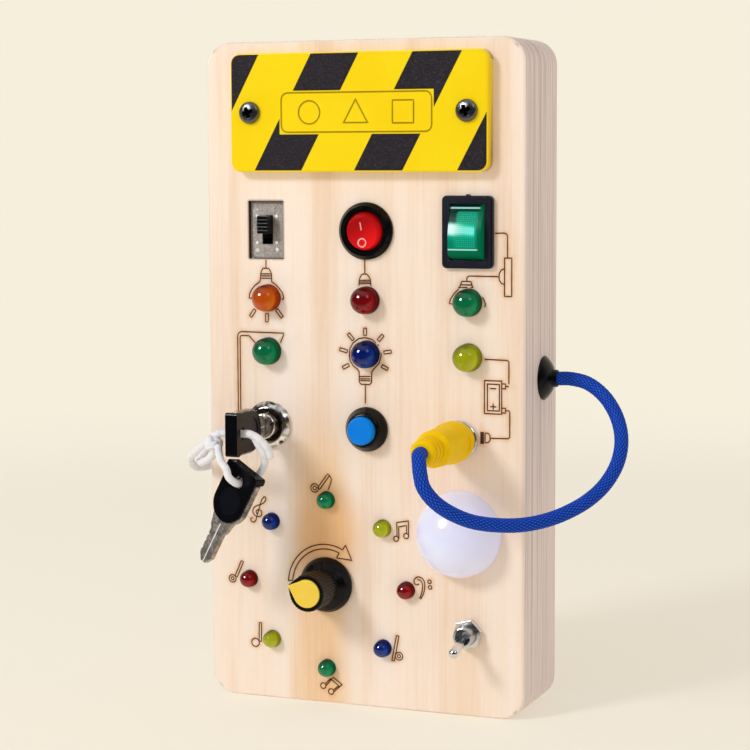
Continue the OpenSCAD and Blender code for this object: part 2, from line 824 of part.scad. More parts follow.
// ---- Green rocker ----
module green_housing() {
    mouth_h = 2*(green_swing_r + 0.2);
    color("black")
        on_front(right_x, switch_z)
            difference() {
                union() {
                    plate(green_bezel_w, green_bezel_h, 1.4, 0, green_bezel_t - 0.5);
                    plate(green_bezel_w - 0.8, green_bezel_h - 0.8, 1, green_bezel_t - 0.5, green_bezel_t);
                    block(green_body_w, green_body_h, -green_depth, 0.01);
                    translate([0, green_bezel_h/2, 0])
                        block(1, 0.8, 0, 1.2);
                }
                block(green_mouth_w, mouth_h, rocker_floor - 0.8, green_bezel_t + 1);
                block(green_mouth_w - 2, mouth_h - 3, -green_depth + 1.2, rocker_floor);
                terminal_row(3, green_terminal_pitch)
                    blade_slot(-green_depth);
                translate([0, 0, green_pivot])
                    rotate([0, 90, 0])
                        cylinder(r = rocker_pin_r + run_gap, h = green_body_w - 0.6, center = true);
            }
}

module green_button() {
    button_w = green_mouth_w - 0.4;
    crown_r = 17;
    color("mediumseagreen")
        on_front(right_x, switch_z)
            translate([0, 0, green_pivot])
                rotate([-green_rest, 0, 0]) {
                    rotate([90, 0, 90])
                        linear_extrude(button_w, center = true)
                            intersection() {
                                circle(green_swing_r, $fn = 96);
                                translate([0, green_face_h - crown_r])
                                    circle(crown_r, $fn = 128);
                                translate([-green_swing_r, -3])
                                    square([2*green_swing_r, green_swing_r + 3]);
                            }
                    rotate([0, 90, 0])
                        cylinder(r = rocker_pin_r, h = green_body_w - 0.8, center = true);
                }
}

module green_terminals() {
    color("goldenrod")
        on_front(right_x, switch_z)
            terminal_row(3, green_terminal_pitch)
                blade_terminal(-green_depth);
}

// ---- Push button ----
module push_housing() {
    mouth = push_cap_d + 2*run_gap;
    flange_room = mouth + 1.2;
    color("black")
        on_front(middle_x, plug_z)
            difference() {
                union() {
                    rotate_extrude()
                        polygon([[0, 0], [push_bezel_d/2, 0], [push_bezel_d/2, 0.9],
                            [push_bezel_d/2 - 0.6, 2], [push_bezel_d/2 - 1.4, push_bezel_t - 0.6],
                            [push_bezel_d/2 - 2, push_bezel_t], [0, push_bezel_t]]);
                    neck(push_neck_d, -push_depth + 3, 0.01);
                    disc(push_neck_d - 2, -push_depth, -push_depth + 3.5);
                }
                disc(mouth, 0.2, push_bezel_t + 1);
                disc(flange_room, -push_depth + 1.5, 1.2);
            }
}

// The nut that clamps a neck to the back of the wood
module panel_nut(neck_d) {
    difference() {
        hexagon(panel_nut_w, -front_wall - seat_gap - panel_nut_t, -front_wall - seat_gap);
        disc(neck_d + 2*run_gap, -front_wall - 2*panel_nut_t, 0);
    }
}

module push_nut() {
    color("silver")
        on_front(middle_x, plug_z)
            panel_nut(push_neck_d);
}

module push_cap() {
    flange_t = 2.5;
    flange_top = 1.2 - seat_gap;
    color("dodgerblue")
        on_front(middle_x, plug_z)
            difference() {
                union() {
                    disc(push_cap_d, -1.5, push_cap_out - 0.6);
                    translate([0, 0, push_cap_out - 0.6])
                        cylinder(d1 = push_cap_d, d2 = push_cap_d - 1, h = 0.6);
                    disc(push_cap_d + 1, flange_top - flange_t, flange_top);
                }
                disc(push_cap_d - 2.4, -3, 0.5);
            }
}

module push_spring() {
    wire = 0.5;
    color("silver")
        on_front(middle_x, plug_z)
            tube(coil(push_spring_r, -push_depth + 1.5 + wire/2 + 0.05, 0.5 - wire/2 - 0.05, 6, 10), wire);
}

// ---- Key lock ----
module lock_body() {
    mouth = lock_plug_d + 2*run_gap;
    rim = lock_bezel_d/2 - 1.6;
    color("silver")
        on_front(left_x, plug_z)
            difference() {
                union() {
                    rotate_extrude()
                        polygon([[0, 0], [lock_bezel_d/2, 0], [lock_bezel_d/2, 1],
                            [rim, lock_bezel_t], [0, lock_bezel_t]]);
                    neck(lock_neck_d, -lock_depth, 0.01);
                }
                disc(mouth, -lock_depth - 1, lock_bezel_t + 1);
                translate([0, 0, lock_bezel_t - 1.4])
                    cylinder(r1 = mouth/2, r2 = rim - 0.5, h = 1.41);
            }
}

module lock_nut() {
    color("silver")
        on_front(left_x, plug_z)
            panel_nut(lock_neck_d);
}

module lock_plug() {
    key_gap = 0.1;
    keyway_h = key_blade_w + 2*key_gap;
    keyway_w = key_t + 2*key_gap;
    tail_d = 4;
    color("silver")
        on_front(left_x, plug_z)
            difference() {
                union() {
                    disc(lock_plug_d, -lock_depth + 1.5, plug_face - 0.4);
                    translate([0, 0, plug_face - 0.4])
                        cylinder(d1 = lock_plug_d, d2 = lock_plug_d - 0.8, h = 0.4);
                    disc(tail_d, -lock_depth - 1.2, -lock_depth + 2);
                }
                block(keyway_w, keyway_h, -key_in - 0.6, plug_face + 1);
            }
}

module lock_switch() {
    color("dimgray")
        on_front(left_x, plug_z)
            difference() {
                disc(lock_neck_d + 1, -lock_depth - 4.2, -lock_depth - seat_gap);
                disc(4 + 2*run_gap, -lock_depth - 1.6, 0);
                block(0.8, 20, -lock_depth - 5, -lock_depth - 3.4);
            }
}

// A key lies along local Z, with its flat faces towards local X. Its head ends at key_out.
module key_steel() {
    blade = key_blade_w/2;
    bow = key_cheek_w/2 + key_border;
    centre = key_bow + key_cheek_w/2;
    top = key_out - key_rim_l;
    notches = [-3.4, -1.2, 1.2, 3.2];
    groove = 0.5;
    difference() {
        rotate([90, 0, 90])
            linear_extrude(key_t, center = true)
                difference() {
                    union() {
                        polygon([[-0.9, -key_in], [0.9, -key_in], [blade, -key_in + 2.2],
                            [blade, key_shoulder], [blade + 0.8, key_shoulder + 1.1],
                            [blade + 1.8, key_bow + 1.3], [0, centre], [-blade - 1.8, key_bow + 1.3],
                            [-blade - 0.8, key_shoulder + 1.1], [-blade, key_shoulder],
                            [-blade, -key_in + 2.2]]);
                        translate([0, centre])
                            circle(bow);
                        translate([-bow, centre])
                            square([2*bow, top - centre]);
                    }
                    for (at = notches)
                        translate([blade + 0.25, at])
                            rotate(45)
                                square(0.9, center = true);
                    translate([0, key_hole_at])
                        circle(d = key_hole_d + 0.2);
                    for (side = [-1, 1])
                        translate([side*key_pin_at, key_pin_up])
                            circle(d = key_pin_d + 0.1);
                }
        for (side = [-1, 1])
            translate([side*key_t/2, 0, 0])
                block(groove, groove, -key_in - 1, key_bow - 1.2);
    }
}

module key_grip() {
    cheek_t = (key_head_t - key_t)/2;
    dimple_d = 8.4;
    top = key_out - key_rim_l;
    difference() {
        union() {
            for (side = [-1, 1])
                translate([side*(key_t/2 + cheek_t/2), 0, 0])
                    rotate([90, 0, 90])
                        linear_extrude(cheek_t, center = true)
                            translate([0, key_bow + key_cheek_w/2])
                                union() {
                                    circle(d = key_cheek_w);
                                    translate([-key_cheek_w/2, 0])
                                        square([key_cheek_w, top + 0.01 - key_bow - key_cheek_w/2]);
                                }
            for (side = [-1, 1])
                translate([0, side*key_pin_at, key_pin_up])
                    rotate([0, 90, 0])
                        cylinder(d = key_pin_d, h = key_t + 0.2, center = true, $fn = 24);
            rotate([90, 0, 90])
                linear_extrude(key_rim_t, center = true)
                    translate([0, top + key_rim_l/2])
                        rounded_rect(key_head_w + 0.4, key_rim_l, 0.8);
        }
        for (side = [-1, 1])
            translate([side*(key_head_t/2), 0, key_bow + 6.4])
                rotate([0, 90, 0])
                    cylinder(d = dimple_d, h = 0.5, center = true);
        translate([0, 0, key_hole_at])
            rotate([0, 90, 0])
                cylinder(d = key_hole_d, h = key_rim_t + 1, center = true);
    }
}

module spare_place() {
    translate([spare_x, front_y - spare_out, spare_z])
        rotate([0, spare_lean, 0])
            rotate([0, 0, 90 + spare_turn])
                translate([0, 0, -key_hole_at])
                    children();
}

module key_blade() {
    color("silver")
        on_front(left_x, plug_z)
            key_steel();
}

module key_head() {
    color("black")
        on_front(left_x, plug_z)
            key_grip();
}

module spare_key_blade() {
    color("silver")
        spare_place()
            key_steel();
}

module spare_key_head() {
    color("black")
        spare_place()
            key_grip();
}

module key_string() {
    color("white")
        tube(string_route, string_d);
}

module string_knot() {
    color("white")
        translate(string_route[knot_at])
            sphere(r = 0.95*string_d, $fn = 32);
}

// A domed rubber grommet: dome, neck through the wall and a flange inside
module grommet(bore_d, collar) {
    base = grommet_d/2;
    dome_r = (base*base + grommet_h*grommet_h)/(2*grommet_h);
    difference() {
        union() {
            intersection() {
                translate([0, 0, grommet_h - dome_r])
                    sphere(dome_r);
                disc(grommet_d, 0, grommet_h);
            }
            disc(grommet_neck_d, -side_wall - 1.2, 0.01);
            disc(grommet_neck_d + 2, -side_wall - 1.2, -side_wall - seat_gap);
            disc(collar, 0, grommet_h + 0.95);
        }
        disc(bore_d, -side_wall - 2, grommet_h - 0.6);
    }
}

module string_grommet() {
    color("white")
        on_side(-1, string_y, string_z)
            grommet(string_d, 2*string_d + 3);
}

module cord_grommet() {
    color("black")
        on_side(1, cord_y, cord_z)
            grommet(cord_d, cord_d + 1.2);
}

// ---- Knob, dimmer and ring board ----
module pointer_outline(r, reach) {
    circle(r);
    side = sqrt(reach*reach - r*r);
    touch = [r*r/reach, r*side/reach];
    polygon([[0, 0], [touch[0], touch[1]], [reach, 0.5], [reach, -0.5], [touch[0], -touch[1]]]);
}

module knob_body() {
    grip = knob_grip_d/2;
    skirt = knob_skirt_d/2;
    clear = 0.6;
    cap_t = 1;
    taper = 1.4;
    color("black")
        on_front(knob_x, knob_z)
            rotate(knob_rest)
                difference() {
                    union() {
                        rotate_extrude()
                            polygon([[0, clear], [skirt, clear], [skirt, clear + 1],
                                [skirt - 1, clear + 3.4], [grip, clear + 4.6], [0, clear + 4.6]]);
                        intersection() {
                            translate([0, 0, clear])
                                linear_extrude(knob_h - clear)
                                    difference() {
                                        pointer_outline(grip, knob_pointer);
                                        for (i = [1:knob_flutes - 1])
                                            rotate(360*i/knob_flutes)
                                                translate([grip + 0.35, 0])
                                                    circle(0.75, $fn = 24);
                                    }
                            translate([0, 0, clear])
                                cylinder(r1 = knob_pointer + taper, r2 = knob_pointer - taper,
                                    h = knob_h - clear);
                        }
                    }
                    translate([0, 0, knob_h - cap_t])
                        linear_extrude(2*cap_t)
                            pointer_outline(grip - 1.7, knob_pointer - 2);
                    disc(12.4, 0, clear + 2.6);
                    disc(shaft_d + 2*hole_gap, 0, knob_h - 3.4);
                }
}

module knob_cap() {
    cap_t = 1;
    gap = 0.05;
    color("gold")
        on_front(knob_x, knob_z)
            rotate(knob_rest)
                translate([0, 0, knob_h - cap_t + gap])
                    linear_extrude(cap_t + 0.1)
                        pointer_outline(knob_grip_d/2 - 1.7 - gap, knob_pointer - 2 - gap);
}

module pot_shaft() {
    root = -front_wall - 1.2;
    color("silver")
        on_front(knob_x, knob_z)
            rotate(knob_rest) {
                disc(shaft_d, root, knob_h - 3.6);
                disc(shaft_d + 4, root - 1, root);
            }
}

module pot_body() {
    back = -front_wall - pot_depth;
    color("gray")
        on_front(knob_x, knob_z)
            difference() {
                union() {
                    disc(pot_d, back, -front_wall - seat_gap);
                    disc(bush_d, -front_wall - 0.2, 3);
                    for (x = [-1:1])
                        translate([x*4, -pot_d/2 - 1, 0])
                            block(1.2, 6, back + 0.5, back + 1.1);
                }
                disc(shaft_d + 2*run_gap, -front_wall - 2, 4);
                disc(shaft_d + 4.4, -front_wall - 2.6, -front_wall - 1.1);
            }
}

module pot_nut() {
    color("silver")
        on_front(knob_x, knob_z)
            difference() {
                hexagon(10, seat_gap, 2.1);
                disc(bush_d + 2*run_gap, -1, 4);
            }
}

module circuit_board() {
    color("darkgreen")
        on_front(knob_x, knob_z)
            difference() {
                disc(2*circuit_r, -circuit_front - circuit_t, -circuit_front);
                disc(pot_d + 2*pot_gap, -circuit_front - 3, 0);
                for (i = [0:ring_count - 1])
                    rotate(90 - 360*i/ring_count)
                        translate([ring_r, 0, 0])
                            each_leg(1.27)
                                disc(led_leg_d + 2*hole_gap, -circuit_front - 3, 0);
            }
}

// ---- Lamps ----
function big_led_places() = [[left_x, upper_lamp_z], [left_x, lower_lamp_z], [middle_x, upper_lamp_z],
    [middle_x, lower_lamp_z], [right_x, upper_lamp_z], [right_x, lower_lamp_z]];

module each_leg(spread) {
    for (side = [-1, 1])
        translate([side*spread, 0, 0])
            children();
}

// Ring places run clockwise from the top
module on_ring(i) {
    turn = 90 - 360*i/ring_count;
    on_front(knob_x + ring_r*cos(turn), knob_z + ring_r*sin(turn))
        rotate(turn)
            children();
}

module led(d, out, flange_t, leg_l) {
    dome_z = out - d/2;
    back = -front_wall - flange_t - seat_gap;
    difference() {
        union() {
            translate([0, 0, dome_z])
                sphere(d/2);
            disc(d, back, dome_z);
            disc(d + 0.9, back, back + flange_t);
        }
        translate([d/2, -d/2, back - 1])
            cube([d, d, flange_t + 1]);
    }
    each_leg(1.27)
        disc(led_leg_d, back - leg_l, back + 0.01);
}

module big_led(x, z) {
    on_front(x, z)
        led(big_led_d, big_led_out, big_flange_t, led_leg_l);
}

module small_led(i) {
    leg_l = circuit_front + circuit_t + 0.8 - front_wall - small_flange_t;
    on_ring(i)
        led(small_led_d, small_led_out, small_flange_t, leg_l);
}

module led_amber() {
    color("darkorange")
        big_led(left_x, upper_lamp_z);
}

module leds_green() {
    color("seagreen") {
        big_led(left_x, lower_lamp_z);
        big_led(right_x, upper_lamp_z);
    }
}

module led_red() {
    color("darkred")
        big_led(middle_x, upper_lamp_z);
}

module led_blue() {
    color("navy")
        big_led(middle_x, lower_lamp_z);
}

module led_lime() {
    color("yellowgreen")
        big_led(right_x, lower_lamp_z);
}

module ring_leds_green() {
    color("seagreen") {
        small_led(0);
        small_led(4);
    }
}

module ring_leds_lime() {
    color("yellowgreen") {
        small_led(1);
        small_led(5);
    }
}

module ring_leds_blue() {
    color("navy") {
        small_led(3);
        small_led(7);
    }
}

module ring_leds_red() {
    color("darkred") {
        small_led(2);
        small_led(6);
    }
}

module lamp_dome() {
    color("white")
        on_front(night_x, night_z)
            difference() {
                union() {
                    intersection() {
                        sphere(d = dome_d, $fn = 72);
                        disc(dome_d + 1, 0.05, dome_d);
                    }
                    disc(collar_d, -front_wall + 0.4, 1);
                }
                intersection() {
                    sphere(d = dome_d - 2*dome_wall, $fn = 72);
                    disc(dome_d, 1, dome_d);
                }
                disc(collar_d - 2*dome_wall, -front_wall - 1, 2);
            }
}

module lamp_board() {
    board_back = -front_wall + 0.4;
    board_t = 1.2;
    color("ivory")
        on_front(night_x, night_z) {
            disc(collar_d - 2*dome_wall - 0.2, board_back, board_back + board_t);
            block(chip_w, chip_w, board_back + board_t - 0.01, board_back + board_t + chip_t);
            each_leg(4)
                disc(1, board_back - 3.4, board_back + 0.1);
        }
}

// ---- Toggle switch ----
module toggle_body() {
    color("silver")
        on_front(right_x, toggle_z)
            difference() {
                union() {
                    block(toggle_box_w, toggle_box_h, -front_wall - toggle_box_depth, -front_wall - seat_gap);
                    disc(toggle_bush_d, -front_wall - 0.2, toggle_bush_out - 0.3);
                    translate([0, 0, toggle_bush_out - 0.3])
                        cylinder(d1 = toggle_bush_d, d2 = toggle_bush_d - 0.6, h = 0.3);
                }
                translate([0, 0, toggle_pivot])
                    sphere(toggle_ball_r + run_gap);
                translate([0, 0, toggle_pivot])
                    cylinder(r1 = toggle_ball_r - 0.2, r2 = 2.42, h = toggle_bush_out - toggle_pivot + 0.01);
                translate([0, 0, -front_wall - 4])
                    cylinder(r1 = 2.6, r2 = toggle_ball_r - 0.1, h = toggle_pivot + front_wall + 4);
            }
}

module toggle_nut() {
    color("silver")
        on_front(right_x, toggle_z)
            difference() {
                rotate(14)
                    hexagon(toggle_nut_w, seat_gap, toggle_nut_t);
                disc(toggle_bush_d + 2*run_gap, -1, 4);
            }
}

module toggle_lever() {
    tail = 4.2;
    color("silver")
        on_front(right_x, toggle_z)
            translate([0, 0, toggle_pivot])
                rotate([toggle_rest, 0, 0]) {
                    sphere(toggle_ball_r);
                    cylinder(d1 = 1.6, d2 = toggle_tip_d, h = toggle_lever_l - toggle_tip_d/2);
                    translate([0, 0, toggle_lever_l - toggle_tip_d/2])
                        sphere(d = toggle_tip_d);
                    translate([0, 0, -tail])
                        cylinder(d = 1.2, h = tail);
                }
}

module toggle_terminals() {
    back = -front_wall - toggle_box_depth;
    color("goldenrod")
        on_front(right_x, toggle_z)
            for (y = [-1:1])
                translate([0, y*4.4, 0])
                    block(2.4, 0.8, back - 3.6, back - 0.02);
}

// ---- Socket and plug ----
module socket_body() {
    color("dimgray")
        on_front(night_x, socket_z) {
            difference() {
                union() {
                    neck(socket_d, -socket_depth, socket_ring_t);
                    disc(socket_d + 3, -socket_depth, -front_wall - seat_gap);
                }
                disc(socket_bore_d, -socket_depth + 1.6, socket_ring_t + 1);
            }
            disc(1.8, -socket_depth + 1, -1);
        }
}

module socket_ring() {
    color("silver")
        on_front(night_x, socket_z)
            difference() {
                rotate_extrude()
                    polygon([[0, seat_gap], [socket_ring_d/2, seat_gap],
                        [socket_ring_d/2, socket_ring_t - 0.4], [socket_ring_d/2 - 0.4, socket_ring_t],
                        [0, socket_ring_t]]);
                disc(socket_d + 2*run_gap, -1, 4);
            }
}

module plug_body() {
    base = socket_ring_t + 0.3;
    end = base + plug_l;
    belly = plug_d/2;
    grip = belly - 0.4;
    tail = plug_end_d/2;
    grip_from = base + 8.6;
    tail_from = end - 7.8;
    ribs = 3;
    rib_pitch = 2.3;
    color("gold")
        on_front(night_x, socket_z)
            difference() {
                intersection() {
                    rotate_extrude()
                        polygon([[0, base], [belly - 1.2, base], [belly - 0.7, base + 0.6],
                            [belly, base + 3], [belly, grip_from - 0.6], [grip, grip_from + 0.2],
                            [grip - 0.4, tail_from - 1.2], [tail + 0.4, tail_from],
                            [tail, end - 1.3], [tail - 0.5, end - 0.4], [tail - 1.2, end], [0, end]]);
                    block(plug_flat_w, 2*plug_d, base - 1, end + 1);
                }
                for (i = [0:ribs - 1])
                    translate([0, 0, end - 2.4 - i*rib_pitch])
                        rotate_extrude()
                            translate([tail - 0.35, 0])
                                square([1.2, 0.8]);
                for (side = [-1, 1])
                    translate([side*plug_flat_w/2, 0, base + 6])
                        rotate([0, 90, 0])
                            cylinder(d = 4.6, h = 0.7, center = true);
                disc(socket_bore_d - 0.8, base - 1, base + 4);
            }
}

module plug_tip() {
    base = socket_ring_t + 0.3;
    color("silver")
        on_front(night_x, socket_z)
            difference() {
                union() {
                    disc(socket_bore_d - 2*run_gap, base - plug_tip_l, base - 0.02);
                    disc(socket_bore_d - 0.8 - 0.1, base - 0.1, base + 3.9);
                }
                disc(1.8 + 2*run_gap + 0.1, base - plug_tip_l - 1, base + 1);
            }
}

module blue_cord() {
    color("mediumblue")
        tube(cord_route, cord_d);
}

case();
back_panel();
back_screws();
battery_cover();
cover_screws();
battery_holder();
battery_cells();
battery_springs();
battery_contacts();
slide_frame();
slide_base();
slide_knob();
round_housing();
round_button();
round_terminals();
green_housing();
green_button();
green_terminals();
push_housing();
push_nut();
push_cap();
push_spring();
lock_body();
lock_nut();
lock_plug();
lock_switch();
key_blade();
key_head();
spare_key_blade();
spare_key_head();
key_string();
string_knot();
string_grommet();
knob_body();
knob_cap();
pot_shaft();
pot_body();
pot_nut();
circuit_board();
lamp_dome();
lamp_board();
toggle_body();
toggle_nut();
toggle_lever();
toggle_terminals();
socket_body();
socket_ring();
plug_body();
plug_tip();
blue_cord();
cord_grommet();
led_amber();
leds_green();
led_red();
led_blue();
led_lime();
ring_leds_green();
ring_leds_lime();
ring_leds_blue();
ring_leds_red();
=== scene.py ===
# %% [markdown]
# # Dressing a wooden busy board
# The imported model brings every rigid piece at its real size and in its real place. This lesson gives the
# pieces their surfaces: sanded pine with burnt lines, moulded plastic, chrome, a braided cord and a soft
# string. All lengths are written in millimetres and turned into metres when a mesh is made.

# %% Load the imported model
import json
from math import acos, ceil, cos, pi, radians, sin
import bmesh
import bpy
import numpy as np
from mathutils import Euler, Matrix, Vector
from mathutils.geometry import delaunay_2d_cdt

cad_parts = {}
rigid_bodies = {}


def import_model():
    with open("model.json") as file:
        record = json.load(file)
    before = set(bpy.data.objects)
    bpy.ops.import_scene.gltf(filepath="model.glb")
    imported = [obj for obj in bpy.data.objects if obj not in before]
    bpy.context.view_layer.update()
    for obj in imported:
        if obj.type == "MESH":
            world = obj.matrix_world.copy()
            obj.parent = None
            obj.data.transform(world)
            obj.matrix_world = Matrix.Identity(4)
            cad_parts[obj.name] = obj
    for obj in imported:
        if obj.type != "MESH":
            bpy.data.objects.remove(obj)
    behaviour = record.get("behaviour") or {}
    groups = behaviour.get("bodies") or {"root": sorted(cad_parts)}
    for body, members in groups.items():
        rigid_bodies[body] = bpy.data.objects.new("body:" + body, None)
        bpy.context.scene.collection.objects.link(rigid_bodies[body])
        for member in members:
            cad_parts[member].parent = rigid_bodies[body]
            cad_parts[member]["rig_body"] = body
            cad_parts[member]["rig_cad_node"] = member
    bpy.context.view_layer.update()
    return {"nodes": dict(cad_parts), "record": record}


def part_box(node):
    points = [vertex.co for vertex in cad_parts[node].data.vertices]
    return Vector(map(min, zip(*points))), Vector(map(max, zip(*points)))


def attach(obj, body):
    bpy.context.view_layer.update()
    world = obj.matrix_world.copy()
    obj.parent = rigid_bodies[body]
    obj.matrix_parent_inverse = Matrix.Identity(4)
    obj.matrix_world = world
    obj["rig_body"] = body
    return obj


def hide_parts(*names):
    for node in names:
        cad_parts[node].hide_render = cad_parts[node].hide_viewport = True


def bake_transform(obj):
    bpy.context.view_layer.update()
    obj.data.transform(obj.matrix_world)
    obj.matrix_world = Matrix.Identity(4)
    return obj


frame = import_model()
bpy.context.scene.view_settings.view_transform = "Standard"
MM = 0.001
FRONT, WALL = -15.5, 4.1  # where the board's front lies, and how thick it is there
COVER_FRONT, COVER_Z, PLAQUE_AT = -19.7, 178.8, (-0.2, 178.7)
KNOB_AT, LOCK_AT = (-11.9, 36.8), (-30.7, 84.7)
slot_of = {part["node"]: part["material_slot"] for part in frame["record"]["subparts"]}

# %% [markdown]
# ## Camera
# A long lens from the front right and a little above keeps the board's sides nearly parallel. A camera can
# be aimed with a constraint, but plain angles are exact: where it stands, how far it turns and how far it
# looks down.

# %% Place the camera
def add(name, data):
    thing = bpy.data.objects.new(name, data)
    bpy.context.scene.collection.objects.link(thing)
    return thing

def stand_camera(place, yaw, pitch, roll, lens):
    forward = Vector((sin(yaw) * cos(pitch), cos(yaw) * cos(pitch), -sin(pitch)))
    level = Vector((cos(yaw), -sin(yaw), 0))
    right = cos(roll) * level + sin(roll) * forward.cross(level)
    up = -forward.cross(right)
    data = bpy.data.cameras.new("camera")
    data.lens, data.sensor_width, data.clip_start = lens, 36, 0.01
    camera = add("camera", data)
    camera.matrix_world = Matrix.Translation(place) @ Matrix((right, up, -forward)).transposed().to_4x4()
    bpy.context.scene.camera = camera

stand_camera(Vector((0.24384, -0.61338, 0.16756)), yaw=-0.3816, pitch=0.1029, roll=0.0041, lens=104.52)
print("camera stands", round(bpy.context.scene.camera.location.length, 3), "m from the board's foot")

# %% [markdown]
# ## Sleeves for cords
# A braided cord is a sleeve of yarns that cross over and under. It could be a curve with a round bevel, but
# then the braid would be only paint. Rings of points carried along a smooth line make a tube whose every
# point knows how far round and how far along it is, so the yarns can really stand up from the sleeve.

# %% A smooth line through a few points
def table(text):
    """Rows of points, with commas between the points. A row goes on where the next line is set in."""
    rows = text.strip().replace("\n  ", " ").splitlines()
    return [[tuple(float(n) for n in point.split()) for point in row.split(",")] for row in rows]

def along(points, step):
    p = np.array(points, float)
    p = np.vstack([2 * p[0] - p[1], p, 2 * p[-1] - p[-2]])
    t = np.linspace(0, 1, 24, endpoint=False)[:, None]
    fine = []
    for a, b, c, d in zip(p, p[1:], p[2:], p[3:]):
        fine.append(0.5 * (2 * b + (c - a) * t + (2 * a - 5 * b + 4 * c - d) * t**2
                           + (3 * b - a - 3 * c + d) * t**3))
    fine = np.vstack(fine + [p[-2:-1]])
    far = np.concatenate([[0], np.cumsum(np.linalg.norm(np.diff(fine, axis=0), axis=1))])
    even = np.linspace(0, far[-1], max(3, int(round(far[-1] / step)) + 1))
    return np.stack([np.interp(even, far, fine[:, k]) for k in range(3)], 1), even

# %% A tube whose skin can carry a relief
def mesh_piece(name, points, faces, smooth=True):
    mesh = bpy.data.meshes.new(name)
    mesh.from_pydata([tuple(p) for p in np.asarray(points) * MM], [], faces)
    mesh.update()
    if smooth:
        mesh.shade_smooth()
    return add(name, mesh)

def tube_faces(rings, around, closed=False):
    """Faces between rings of points, with a cap on each end unless the tube closes on itself."""
    faces = []
    for i in range(rings if closed else rings - 1):
        this, after = i * around, (i + 1) % rings * around
        for k in range(around):
            after_k = (k + 1) % around
            faces.append((this + k, this + after_k, after + after_k, after + k))
    caps = [tuple(range(around))[::-1], tuple(range((rings - 1) * around, rings * around))]
    return faces if closed else faces + caps

def point_value(piece, name, values):
    made = piece.data.attributes.new(name, "FLOAT", "POINT")
    made.data.foreach_set("value", np.asarray(values, np.float32).ravel())

def sleeve(name, route, diameter, around, step, relief):
    line, far = along(route, step)
    way = np.gradient(line, axis=0)
    way /= np.linalg.norm(way, axis=1)[:, None]
    side = np.zeros_like(line)
    last = np.array([0.1, 0.2, 1.0])
    for i, w in enumerate(way):
        last = last - last.dot(w) * w
        last /= np.linalg.norm(last)
        side[i] = last
    other = np.cross(way, side)
    turn = np.arange(around) * 2 * pi / around
    rise, lift = relief(turn[None, :], far[:, None])
    r = (diameter / 2 + rise)[:, :, None]
    ring = np.cos(turn)[None, :, None] * side[:, None, :] + np.sin(turn)[None, :, None] * other[:, None, :]
    points = (line[:, None, :] + r * ring).reshape(-1, 3)
    piece = mesh_piece(name, points, tube_faces(len(line), around))
    point_value(piece, "lift", lift)
    return piece, line * MM, far[-1] * MM

# %% Yarns that cross over and under
def braid(yarns, pitch, height):
    def relief(turn, far):
        a = yarns * turn / (2 * pi) + far / pitch
        b = yarns * turn / (2 * pi) - far / pitch
        hump = lambda t: 4 * (t % 1) * (1 - t % 1)
        a_is_over = (np.floor(a) + np.floor(b)) % 2 == 0
        over, under = np.where(a_is_over, (a, b), (b, a))
        lift = hump(over) ** 0.5 * (0.5 + 0.5 * hump(under))
        return height * (lift - 0.6), lift
    return relief

# %% [markdown]
# ## The blue cord
# The cord leaves the black grommet on the right side, hangs in one open loop and comes back to the plug
# from in front. It is seen from end to end, so its length is the length of the line.

# %% Make the blue cord
cord_route, = table("""
30.7 -47.6 82.9, 30.7 -49 82.9, 31.1 -50.8 82.6, 32.1 -53.2 81.2, 33.2 -55.2 78.2, 34.5 -55.9 74.6,
  37.3 -54.6 70.6, 41.1 -51.6 67.2, 45.7 -47.8 64.6, 51 -43.2 63.2, 56.6 -38.2 62.7, 62.1 -32.9 63.4,
  67.1 -27.3 65.2, 71.8 -21.6 68.2, 75.3 -16 72.4, 77.2 -10.6 77.8, 77 -6 83.8, 74.6 -2.4 89.8,
  70.3 0.2 95.2, 64.8 2 98.8, 59.4 2.8 100, 55.1 2.8 100
""")
blue_cord, cord_line, cord_length = sleeve("cord_sleeve", cord_route[::-1], diameter=4, around=60, step=0.25,
                                           relief=braid(14, 1.75, 0.22))
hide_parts("blue_cord")
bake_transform(blue_cord)
print("blue cord", round(cord_length * 1000, 1), "mm")
